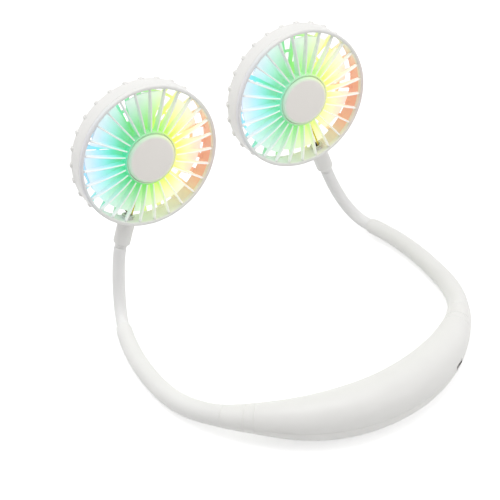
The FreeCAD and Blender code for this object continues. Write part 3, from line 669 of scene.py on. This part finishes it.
def bar_section(low, high, low_half, high_half, low_corner, high_corner):
    """Eight points of a bar's section with softened corners, as (across, height)."""
    right = [(high_half - high_corner, high), (high_half, high - high_corner), (low_half, low + low_corner),
             (low_half - low_corner, low)]
    left = [(-across, height) for across, height in reversed(right)]
    return left[1:] + right + left[:1]


def vane():
    """Rings of one deep vane from the hub collar out to the bezel."""
    root = hub_radius - vane_thickness / 2
    tip = head_radius - bezel_width + vane_thickness / 2
    root_bottom = dome_rise - vane_root_depth
    rings = []
    for share in spread(0.0, 1.0, vane_rings):
        radius = root + (tip - root) * share
        bulge = 4 * share * (1 - share)
        high = (dome_rise - vane_tip_drop) * (1 - share) - vane_tip_drop * share + dome_bulge * bulge
        low = root_bottom * (1 - share) - (vane_tip_drop + vane_tip_depth) * share + dome_bulge / 2 * bulge
        section = bar_section(low, high, vane_thickness / 2, vane_front_thickness / 2, edge_round, vane_round)
        rings.append([Vector((radius, y, z)) for y, z in section])
    return rings


def front_grille(side):
    def build(work):
        inner = head_radius - bezel_width
        bezel = arc_points((inner + bezel_round, -bezel_round), bezel_round, 180, 90, round_points)
        bezel += arc_points((head_radius - bezel_round, -bezel_round), bezel_round, 90, 0, round_points)
        bezel += [(head_radius, parting_height + edge_round), (head_radius - edge_round, parting_height),
                  (inner, parting_height)]
        add_turned(work, bezel, fine_points)
        low = dome_rise - vane_root_depth
        edge = hub_inner + edge_round
        collar = [(hub_inner, low), (hub_inner, dome_rise - edge_round), (edge, dome_rise),
                  (hub_radius - edge_round, dome_rise), (hub_radius, dome_rise - edge_round), (hub_radius, low)]
        add_turned(work, collar, fine_points)
        floor = [(0.0, hub_floor_height), (edge, hub_floor_height), (edge, hub_floor_top), (0.0, hub_floor_top)]
        add_turned(work, floor, fine_points)
        add_around(work, vane(), from_top(vane_count))
    return make_object(side + "_grille", build)


def centre_cap(side):
    radius = hub_inner - cap_gap
    corner = (radius - cap_round, cap_height - cap_crown - cap_round)
    crown = (corner[0] ** 2 + cap_crown ** 2) / (2 * cap_crown)
    under = cap_height - cap_plate
    inner = radius - cap_skirt
    profile = [(0.0, under), (inner, under), (inner, hub_floor_top), (radius, hub_floor_top)]
    profile += arc_points(corner, cap_round, 0, 90, cap_round_points)
    profile += [(r, cap_height - crown + sqrt(crown ** 2 - r ** 2))
                for r in spread(corner[0], 0.0, cap_dome_points)[1:]]
    return make_object(side + "_cap", lambda work: add_turned(work, profile, fine_points))


def rib_line():
    """The rear rib's outer edge as (radius, height, outward angle in degrees)."""
    outer = head_radius + rear_rib_proud
    start = wall_end + rear_rib_reach
    slope_end = rear_height + rear_slope
    centre = (outer - rear_corner_radius, slope_end + rear_corner_radius)
    root = rear_hub_diameter / 2 - edge_round
    line = [(head_radius, start, 0.0), (outer, start - rear_rib_proud, 0.0), (outer, centre[1], 0.0)]
    corner = arc_points(centre, rear_corner_radius, 0, -90, rib_corner_points)
    line += [(r, z, a) for (r, z), a in zip(corner[1:], spread(0, -90, rib_corner_points)[1:])]
    line += [(centre[0] + (root - centre[0]) * share, slope_end + (rear_height - slope_end) * share, -90.0)
             for share in spread(0.0, 1.0, rib_slope_points)[1:]]
    return line


def rear_rib():
    half = rear_rib_thickness / 2
    section = bar_section(0.0, rear_rib_depth, half, half, edge_round * 2, edge_round)
    rings = []
    for radius, height, facing in rib_line():
        x, z = cos(radians(facing)), sin(radians(facing))
        rings.append([Vector((radius - x * depth, across, height - z * depth)) for across, depth in section])
    return rings


def rear_rib_height(radius):
    root, corner = rear_slope_radii
    return rear_height + rear_slope * (radius - root) / (corner - root)


def add_socket(work):
    """Tube under the head, with a softened mouth."""
    outer = socket_diameter / 2
    inner = socket_bore / 2
    top = head_radius - head_wall
    end = head_radius + socket_length
    profile = [(inner, top), (outer, top), (outer, end - socket_round)]
    profile += arc_points((outer - socket_round, end - socket_round), socket_round, 0, 90, corner_points)[1:]
    profile += [(inner, end)]
    turn = Matrix.Translation((0, 0, -socket_setback)) @ Matrix.Rotation(radians(90), 4, "X")
    add_turned(work, profile, ring_points, turn)


def motor_screw_places():
    return [Matrix.Translation((hand * motor_screw_spacing / 2, 0, rear_height)) for hand in sides.values()]


def rear_hub():
    """Mesh of the rear hub with its two screw recesses."""
    edge = rear_hub_diameter / 2
    profile = [(0.0, rear_floor), (0.0, rear_height), (edge - 2 * edge_round, rear_height),
               (edge, rear_height + 2 * edge_round), (edge, rear_floor)]
    hub = make_object("rear_hub", lambda work: add_turned(work, profile, fine_points))
    cut_out(hub, [rod_cutter(motor_screw_recess_diameter / 2, -motor_screw_cut_margin, motor_screw_head_height, place)
                  for place in motor_screw_places()])
    mesh = hub.data
    bpy.data.objects.remove(hub)
    return mesh


def rear_shell(side):
    def build(work):
        work.from_mesh(rear_hub())
        inner = head_radius - head_wall
        wall = [(inner, wall_end), (head_radius - edge_round, wall_end),
                (head_radius, wall_end + edge_round), (head_radius, parting_height - edge_round),
                (head_radius - edge_round, parting_height), (inner, parting_height)]
        add_turned(work, wall, fine_points)
        cup_inner = motor_cup_diameter / 2
        cup_outer = cup_inner + motor_cup_wall
        low, high = rear_floor - edge_round, rear_floor + motor_cup_height
        add_turned(work, [(cup_inner, low), (cup_outer, low), (cup_outer, high), (cup_inner, high)], ring_points)
        half = rear_ring_width / 2
        for share in rear_ring_shares:
            radius = share * head_radius
            low = rear_rib_height(radius) + (rear_rib_depth - rear_ring_width) / 2
            section = bar_section(low, low + rear_ring_width, half, half, edge_round, edge_round)
            add_turned(work, [(radius + across, z) for across, z in section], fine_points)
        add_around(work, rear_rib(), from_top(rear_rib_count))
        add_socket(work)
    return make_object(side + "_rear", build)


def share_between(values, share):
    """Value on the curve through three values at shares 0, a half and 1."""
    first, middle, last = values
    return first * (1 - share) * (1 - 2 * share) + middle * 4 * share * (1 - share) + last * share * (2 * share - 1)


def blade():
    root = wheel_hub_diameter / 2 - wheel_hub_wall / 2
    tip = head_radius - head_wall - blade_tip_gap
    rings = []
    for share in spread(0.0, 1.0, blade_rings):
        radius = root + (tip - root) * share
        chord = share_between(blade_chords, share)
        pitch = radians(share_between(blade_pitches, share))
        thickness = share_between(blade_thicknesses, share)
        ring = []
        for turn in full_turn(blade_points):
            along = copysign(abs(cos(turn)) ** blade_edge_power, cos(turn)) * chord / 2
            across = sin(turn) * thickness / 2
            y = along * cos(pitch) - across * sin(pitch)
            z = along * sin(pitch) + across * cos(pitch) - blade_set_back
            ring.append(Vector((sqrt(radius ** 2 - y ** 2), y, z)))
        rings.append(ring)
    return rings


def impeller(side):
    def build(work):
        radius = wheel_hub_diameter / 2
        inner = radius - wheel_hub_wall
        bottom = wheel_top - wheel_hub_height
        under = wheel_top - wheel_hub_wall
        profile = [(0.0, under), (inner, under), (inner, bottom), (radius, bottom)]
        corner = (radius - wheel_hub_round, wheel_top - wheel_hub_round)
        profile += arc_points(corner, wheel_hub_round, 0, 90, round_points)
        profile += [(0.0, wheel_top)]
        add_turned(work, profile, fine_points)
        add_around(work, blade(), full_turn(blade_count))
    return make_object(side + "_wheel", build)


def build_heads(paint):
    for side in sides:
        screws = make_screws(side + "_motor_screw_pair", motor_screw_places(), motor_screw_head_diameter,
                             motor_screw_head_height, motor_screw_diameter, rear_rib_depth + motor_screw_bite)
        for piece, paint_name, body, slot, node in (
                (front_grille(side), side + "_grille", "_head", "shell_white", "_front_grille"),
                (centre_cap(side), side + "_cap", "_head", "cap_grey", "_centre_cap"),
                (rear_shell(side), side + "_rear", "_head", "shell_white", "_rear_shell"),
                (screws, "dark_steel", "_head", "steel", "_motor_screws"),
                (impeller(side), side + "_wheel", "_fan", "clear_white", "_impeller")):
            piece.data.transform(head_matrix(side))
            finish_piece(piece, paint[paint_name], side + body, side + node)


# Materials

white = (1.0, 1.0, 1.0, 1.0)
shell_colour = (0.90, 0.893, 0.87)
cap_colour = (0.97, 0.935, 0.89)
lead_colour = (0.03, 0.024, 0.018)
lit_roughness = 0.42
cap_roughness = 0.45

# Finish. Grain: noise scale per metre and depth of the bump. Mottle: noise scale and share of the colour.
# Wear: noise scale, then how far the roughness falls and rises.
noise_span = (0.3, 0.7)
hard_grain = (2600.0, 0.00002)
cap_grain = (3200.0, 0.00003)
soft_grain = (1800.0, 0.000025)
plastic_mottle = (60.0, 0.012)
plastic_wear = (35.0, 0.04, 0.05)
metal_mottle = (400.0, 0.05)
metal_wear = (900.0, 0.06, 0.08)

# Rainbow of the lamps' light painted across a head, from its left edge (0) to its right edge (1)
glow_turn = 15.5
glow_depths = {"left": 1.0, "right": 0.84}
glow_stops = (
    (0.03, (0.66, 0.66, 0.93)), (0.10, (0.46, 0.68, 0.97)), (0.17, (0.24, 0.76, 0.97)), (0.24, (0.16, 0.83, 0.76)),
    (0.31, (0.16, 0.76, 0.46)), (0.38, (0.17, 0.70, 0.31)), (0.46, (0.22, 0.74, 0.24)), (0.54, (0.42, 0.86, 0.21)),
    (0.62, (0.76, 0.96, 0.20)), (0.71, (0.96, 0.97, 0.28)), (0.81, (1.0, 0.92, 0.48)), (0.90, (0.95, 0.52, 0.32)),
    (1.0, (0.82, 0.28, 0.21)))
# Lamp light painted on the inside of the head's wall: where across the head (0 to 1), its glow colour and its glow
# strength
wall_light_spots = (0.0, 0.22, 0.76, 0.87, 0.93, 1.0)
wall_light_colours = ((0.66, 0.66, 0.92), (0.86, 0.86, 0.90), (0.86, 0.84, 0.83), (0.82, 0.70, 0.63), (0.87, 0.52, 0.42),
                (0.82, 0.38, 0.32))
wall_light_strengths = (0.15, 0.06, 0.08, 0.12, 0.17, 0.2)
lead_stops = ((0.0, (0.80, 0.62, 0.05)), (0.6, (0.42, 0.27, 0.03)), (1.0, lead_colour))

# Where the painted lamp light comes and goes, and where the lead's colours change: metres from an edge
collar_fade = (0.0, 0.0004)
hub_fade = (0.0001, 0.0004)
rim_fade = (-0.0012, -0.0004)
wall_fade = (-0.0004, -0.0001)
inside_fade = (0.0001, 0.0003)
lead_fade = (-0.006, -0.003)
flank_light_fade = (0.0002, 0.0008)
vane_rim_gap = 0.001
rib_light_start = 0.0003

# Shares of the head's radius, or of its width for the spill and the warm side
vane_upper_span = (0.2, 0.7)
spill_span = (0.28, 0.48)
wheel_light_span = (0.43, 0.82)
wheel_upper_span = (0.1, 0.8)
wheel_warm_span = (0.42, 0.66)
wheel_shine_span = (0.3, 0.85)

# How strong the painted lamp light is, as glow colour share or glow strength, at both ends of a span, or at most
flank_light_share = (0.15, 1.0)
vane_upper_light = (1.0, 0.3)
vane_shine = 0.27
spill_light = 0.16
cap_edge_light = 0.55
cap_edge_shine = 0.35
wheel_hub_light = 0.88
wheel_tip_light = 0.28
wheel_upper_light = (1.0, 0.75)
wheel_warm_light = (1.0, 1.35)
wheel_shine = (0.27, 0.4)
rib_light_share = 0.6
rib_shine = 0.5

# Name, colour, roughness and, where it isn't the usual one, grain
hard_paints = {
    "shell": ("white_shell", shell_colour, 0.4),
    "cap": ("grey_cap", cap_colour, cap_roughness, cap_grain),
    "cable": ("dark_cable", (0.035, 0.028, 0.022), 0.5),
    "dark": ("dark_plastic", (0.03, 0.03, 0.03), 0.45),
    "ferrule": ("pale_ferrule", (0.88, 0.87, 0.86), 0.45),
    "tube": ("inner_tube", (0.78, 0.78, 0.76), 0.5),
    "battery": ("battery_wrap", (0.06, 0.16, 0.36), 0.3),
    "board": ("green_board", (0.02, 0.14, 0.06), 0.4),
    "white_board": ("white_board", (0.86, 0.86, 0.84), 0.4),
    "lamp": ("lamp_lens", (0.95, 0.94, 0.85), 0.3)}
soft_paints = {
    "sleeve": ("soft_sleeve", (0.91, 0.905, 0.885), 0.5, soft_grain),
    "neck": ("soft_neck", (0.93, 0.925, 0.915), 0.52, soft_grain)}
metal_paints = {
    "steel": ("plated_steel", (0.62, 0.62, 0.61), 0.35),
    "dark_steel": ("dark_steel", (0.22, 0.22, 0.23), 0.34),
    "motor": ("motor_can", (0.52, 0.52, 0.51), 0.4),
    "copper": ("copper_wire", (0.72, 0.38, 0.18), 0.38)}

# Paints of the frame's own solids that stay on show
node_paints = {
    "battery_cell": "battery", "control_board": "board", "charging_port": "steel", "tact_switch": "dark",
    "switch_board": "board"}
side_node_paints = {
    "arm_tube": "tube", "arm_cable": "cable", "neck_ferrule": "ferrule", "neck_clip": "steel", "motor_can": "motor",
    "motor_rotor": "copper", "motor_shaft": "steel", "lamp_board": "white_board", "lamps": "lamp"}


class Tree:
    """Node tree with shortcuts that add a node and give its output."""

    def __init__(self, tree):
        self.nodes = tree.nodes
        self.links = tree.links

    def feed(self, socket, value):
        """Links an output to a socket, or sets the socket's own value."""
        if isinstance(value, bpy.types.NodeSocket):
            self.links.new(value, socket)
        else:
            socket.default_value = value

    def node(self, kind, sockets=None, **settings):
        node = self.nodes.new(kind)
        for name, value in settings.items():
            setattr(node, name, value)
        for socket, value in (sockets or {}).items():
            self.feed(node.inputs[socket], value)
        return node

    def maths(self, operation, *values):
        return self.node("ShaderNodeMath", dict(enumerate(values)), operation=operation).outputs[0]

    def times(self, product, *values):
        for value in values:
            product = self.maths("MULTIPLY", product, value)
        return product

    def seen(self):
        """1 on rays that come from the camera, a mirror or glass, 0 on all others."""
        rays = self.node("ShaderNodeLightPath").outputs
        mirrored = self.maths("MAXIMUM", rays["Is Glossy Ray"], rays["Is Transmission Ray"])
        return self.maths("MAXIMUM", rays["Is Camera Ray"], mirrored)


class Paint(Tree):
    """Node material with a Principled shader."""

    def __init__(self, name, colour, roughness):
        self.material = bpy.data.materials.new(name)
        self.material.use_nodes = True
        super().__init__(self.material.node_tree)
        self.shader = self.nodes["Principled BSDF"]
        self.set("Base Color", (*colour, 1.0))
        self.set("Roughness", roughness)

    def set(self, socket, value):
        self.feed(self.shader.inputs[socket], value)

    def place(self, **settings):
        return self.node("ShaderNodeTexCoord", **settings).outputs["Object"]

    def noise(self, scale, detail=2.0):
        sockets = {"Scale": scale, "Detail": detail, "Vector": self.place()}
        return self.node("ShaderNodeTexNoise", sockets).outputs["Fac"]

    def ramp(self, source, stops):
        """Colour ramp of (place, colour) stops."""
        node = self.node("ShaderNodeValToRGB", {"Fac": source})
        elements = node.color_ramp.elements
        while len(elements) < len(stops):
            elements.new(0.5)
        for element, (place, colour) in zip(elements, stops):
            element.position = place
            element.color = (*colour, 1.0)
        return node.outputs["Color"]

    def remap(self, source, span, values):
        """Goes from one value to the other over a span of the source, and stays there beyond it."""
        sockets = dict(zip(("From Min", "From Max", "To Min", "To Max"), (*span, *values)), Value=source)
        return self.node("ShaderNodeMapRange", sockets).outputs["Result"]

    def vector(self, operation, *values):
        node = self.node("ShaderNodeVectorMath", dict(enumerate(values)), operation=operation)
        return node.outputs["Value" if operation == "DOT_PRODUCT" else "Vector"]

    def mix(self, share, first, second):
        """Mix of two colours, through the node's colour sockets."""
        return self.node("ShaderNodeMix", {"Factor": share, 6: first, 7: second}, data_type="RGBA").outputs[2]

    def vary(self, colour, roughness, mottle, wear):
        """Slightly uneven colour and roughness."""
        scale, share = mottle
        shades = (tuple(min(1.0, c * (1 + change)) for c in colour) for change in (-share, share))
        self.colour = self.ramp(self.noise(scale), list(zip(noise_span, shades)))
        self.set("Base Color", self.colour)
        scale, less, more = wear
        self.set("Roughness", self.remap(self.noise(scale), noise_span, (roughness - less, roughness + more)))


class Metal(Paint):
    def __init__(self, name, colour, roughness):
        super().__init__(name, colour, roughness)
        self.vary(colour, roughness, metal_mottle, metal_wear)
        self.set("Metallic", 1.0)


class Plastic(Paint):
    """Plastic with a fine moulded grain."""

    def __init__(self, name, colour, roughness, grain=hard_grain):
        super().__init__(name, colour, roughness)
        self.vary(colour, roughness, plastic_mottle, plastic_wear)
        scale, depth = grain
        sockets = {"Strength": 0.35, "Distance": depth, "Height": self.noise(scale, detail=3.0)}
        self.set("Normal", self.node("ShaderNodeBump", sockets).outputs["Normal"])
        self.set("Specular IOR Level", 0.42)


class HeadPlastic(Plastic):
    """Plastic that knows where a point lies in its head, measured on a piece that stays still in the head."""

    def __init__(self, side, name, *looks):
        super().__init__(side + name, *looks)
        place = head_matrix(side)
        face = place.to_3x3().col[2]
        upright = (Vector((0, 0, 1)) - face * face.z).normalized()
        turn = radians(glow_turn)
        sideways = upright.cross(face) * cos(turn) - upright * sin(turn)
        still = self.place(object=frame["nodes"][side + "_lamps"])
        offset = self.vector("SUBTRACT", still, place.translation)
        self.height, self.upward, across, square = (
            self.vector("DOT_PRODUCT", offset, other) for other in (face, upright, sideways, offset))
        self.across = self.remap(across, (-head_radius, head_radius), (0.0, 1.0))
        self.radius = self.maths("SQRT", self.maths("SUBTRACT", square, self.maths("POWER", self.height, 2.0)))

    def by_radius(self, span, values):
        return self.remap(self.radius, span, values)

    def light_up(self, amount, strength):
        """Paints the lamps' light on the plastic: mixes the glow colour in by the amount and gives it a painted glow
        of that colour.
        """
        glow_colour = self.mix(amount, self.colour, self.ramp(self.across, glow_stops))
        self.set("Base Color", glow_colour)
        self.set("Emission Color", glow_colour)
        self.set("Emission Strength", strength)
        return self


def beside(edge, fade):
    return tuple(edge + offset for offset in fade)


def of_head(span):
    return tuple(share * head_radius for share in span)


def grille_paint(side):
    """White vanes with the lamps' light painted on them: glow colour on their flanks towards the hub below thin pale
    front edges, less towards the top, a little spilled near the rim at the sides, and a painted glow inside the rim.
    """
    paint = HeadPlastic(side, "_lit_grille", shell_colour, lit_roughness)
    rim = head_radius - bezel_width
    share = paint.by_radius((hub_radius - vane_thickness / 2, rim + vane_thickness / 2), (0.0, 1.0))
    curve = paint.maths("ADD", 4 * dome_bulge - dome_rise, paint.times(share, -4 * dome_bulge))
    front = paint.maths("ADD", dome_rise - vane_tip_drop, paint.times(share, curve))
    deep = paint.remap(paint.maths("SUBTRACT", front, paint.height), flank_light_fade, flank_light_share)
    collar = paint.by_radius(beside(hub_radius, collar_fade), (1.0, 0.0))
    near = paint.by_radius((hub_radius, rim - vane_rim_gap), (glow_depths[side], 0.0))
    outside = paint.by_radius(beside(hub_inner, hub_fade), (0.0, 1.0))
    low = paint.remap(paint.upward, of_head(vane_upper_span), vane_upper_light)
    amount = paint.times(paint.maths("MAXIMUM", deep, collar), near, outside, low)
    inward = paint.by_radius(beside(rim, rim_fade), (1.0, 0.0))
    aside = paint.maths("ABSOLUTE", paint.maths("SUBTRACT", paint.across, 0.5))
    spill = paint.times(paint.remap(aside, spill_span, (0.0, spill_light)), paint.maths("SUBTRACT", 1.0, inward))
    return paint.light_up(paint.maths("MAXIMUM", amount, spill), paint.times(inward, outside, low, vane_shine))


def cap_paint(side):
    """Plain cap with the lamps' light around it painted on its rounded edge, as colour and a faint glow."""
    paint = HeadPlastic(side, "_grey_cap", cap_colour, cap_roughness, cap_grain)
    edge = hub_inner - cap_gap
    amount = paint.by_radius((edge - cap_round, edge), (0.0, cap_edge_light))
    return paint.light_up(amount, paint.times(amount, cap_edge_shine))


def lead_paint(side):
    """Lead in a dark sleeve at the wall, yellow further in."""
    paint = HeadPlastic(side, "_lead", lead_colour, 0.45)
    outward = paint.by_radius(beside(head_radius - head_wall, lead_fade), (0.0, 1.0))
    paint.set("Base Color", paint.ramp(outward, lead_stops))
    return paint


def wheel_paint(side):
    """Clear white wheel with the lamps' light painted on it: strong glow colour round the hub, paler towards the
    blade tips, less towards the top and more on the warm side, with a painted glow that grows towards the tips.
    """
    paint = HeadPlastic(side, "_lit_wheel", (0.90, 0.92, 0.93), lit_roughness)
    near = paint.by_radius(of_head(wheel_light_span), (wheel_hub_light * glow_depths[side], wheel_tip_light))
    low = paint.remap(paint.upward, of_head(wheel_upper_span), wheel_upper_light)
    warm = paint.remap(paint.across, wheel_warm_span, wheel_warm_light)
    return paint.light_up(paint.times(near, low, warm), paint.by_radius(of_head(wheel_shine_span), wheel_shine))


def rear_paint(side):
    """White shell with the lamps' light painted on the ribs' inner sides and on the inside of the wall, as colour and
    glow.
    """
    paint = HeadPlastic(side, "_lit_rear", shell_colour, lit_roughness)
    inner = head_radius - head_wall
    within = paint.by_radius(beside(inner, inside_fade), (1.0, 0.0))
    on_wall = paint.by_radius(beside(inner, wall_fade), (0.0, 1.0))
    back = paint.by_radius(rear_slope_radii, (rear_height, rear_height + rear_slope))
    depth = paint.maths("SUBTRACT", paint.height, back)
    rib_share = paint.remap(depth, (rib_light_start, rear_rib_depth), (0.0, rib_light_share))
    rib_glow, wall_glow, wall_shine = (paint.ramp(paint.across, stops) for stops in (
        glow_stops, list(zip(wall_light_spots, wall_light_colours)),
        [(spot, (strength,) * 3) for spot, strength in zip(wall_light_spots, wall_light_strengths)]))
    strength = paint.mix(on_wall, paint.times(rib_share, rib_shine), wall_shine)
    glow = paint.mix(on_wall, rib_glow, wall_glow)
    glow_share = paint.times(within, paint.maths("MAXIMUM", rib_share, on_wall))
    paint.set("Base Color", paint.mix(glow_share, paint.colour, glow))
    paint.set("Emission Color", glow)
    paint.set("Emission Strength", paint.times(within, strength))
    return paint


def make_paints():
    made = {key: Plastic(*looks) for key, looks in {**hard_paints, **soft_paints}.items()}
    made.update({key: Metal(*looks) for key, looks in metal_paints.items()})
    for key in soft_paints:
        made[key].set("Sheen Weight", 0.06)
    made["lamp"].set("Emission Strength", 2.0)
    made["lamp"].set("Emission Color", (0.75, 0.9, 1.0, 1.0))
    for side in sides:
        made.update({side + "_grille": grille_paint(side), side + "_wheel": wheel_paint(side),
                     side + "_cap": cap_paint(side), side + "_lead": lead_paint(side),
                     side + "_rear": rear_paint(side)})
    return {key: paint.material for key, paint in made.items()}


def paint_nodes(paint):
    names = dict(node_paints)
    for side in sides:
        names.update({side + "_" + node: colour for node, colour in side_node_paints.items()})
        names[side + "_head_leads"] = side + "_lead"
    for name, colour in names.items():
        materials = frame["nodes"][name].data.materials
        materials.clear()
        materials.append(paint[colour])


# Stage, light and camera. The floor's own white grows with the squared distance from its middle.

floor_reach = 6.0
floor_white_span = (0.1, 0.8)
floor_white = (0.535, 0.85)
light_aim = (0.0, 0.08, 0.04)
lights = {
    "key": ((0.0, 0.1, 1.4), 6.3), "back": ((-0.7, 0.8, 1.0), 4.1),
    "fill": ((0.7, -0.9, 0.8), 2.6), "side": ((1.3, 0.1, 0.6), 1.6)}


def point_at(thing, place, direction):
    thing.location = place
    thing.rotation_mode = "QUATERNION"
    thing.rotation_quaternion = direction.to_track_quat("-Z", "Y")


def build_stage():
    mesh = bpy.data.meshes.new("floor")
    corners = [(x * floor_reach, y * floor_reach, 0) for x, y in ((-1, -1), (1, -1), (1, 1), (-1, 1))]
    mesh.from_pydata(corners, [], [(0, 1, 2, 3)])
    floor = add_object("floor", mesh)
    floor.location.z = -0.0002
    paint = Paint("floor_white", (0.80, 0.80, 0.80), 0.9)
    paint.set("Specular IOR Level", 0.0)
    paint.set("Emission Color", white)
    place = paint.place()
    shine = paint.remap(paint.vector("DOT_PRODUCT", place, place), floor_white_span, floor_white)
    paint.set("Emission Strength", paint.times(paint.seen(), shine))
    mesh.materials.append(paint.material)


def build_light():
    scene.world = bpy.data.worlds.new("studio")
    scene.world.use_nodes = True
    tree = Tree(scene.world.node_tree)
    soft = tree.nodes["Background"]
    tree.feed(soft.inputs["Color"], white)
    tree.feed(soft.inputs["Strength"], 0.44)
    bright = tree.node("ShaderNodeBackground", {"Color": white, "Strength": 1.0})
    mix = tree.node("ShaderNodeMixShader", {
        "Fac": tree.seen(), 1: soft.outputs["Background"], 2: bright.outputs["Background"]})
    tree.feed(tree.nodes["World Output"].inputs["Surface"], mix.outputs["Shader"])
    for name, (place, power) in lights.items():
        light = bpy.data.lights.new(name, "AREA")
        light.shape = "DISK"
        light.size = 0.9
        light.energy = power
        point_at(add_object(name, light), place, Vector(light_aim) - Vector(place))


def build_camera():
    data = bpy.data.cameras.new("camera")
    data.sensor_width = 36.0
    data.lens = camera_lens
    data.clip_end = 20.0
    scene.camera = add_object("camera", data)
    a = radians(camera_azimuth)
    e = radians(camera_elevation)
    back = Vector((sin(a) * cos(e), -cos(a) * cos(e), sin(e)))
    point_at(scene.camera, Vector(camera_aim) + back * camera_distance, -back)


scene.view_settings.view_transform = "Standard"
paints = make_paints()
build_housing(paints)
build_arms(paints)
build_necks(paints)
build_heads(paints)
paint_nodes(paints)
build_stage()
build_light()
build_camera()
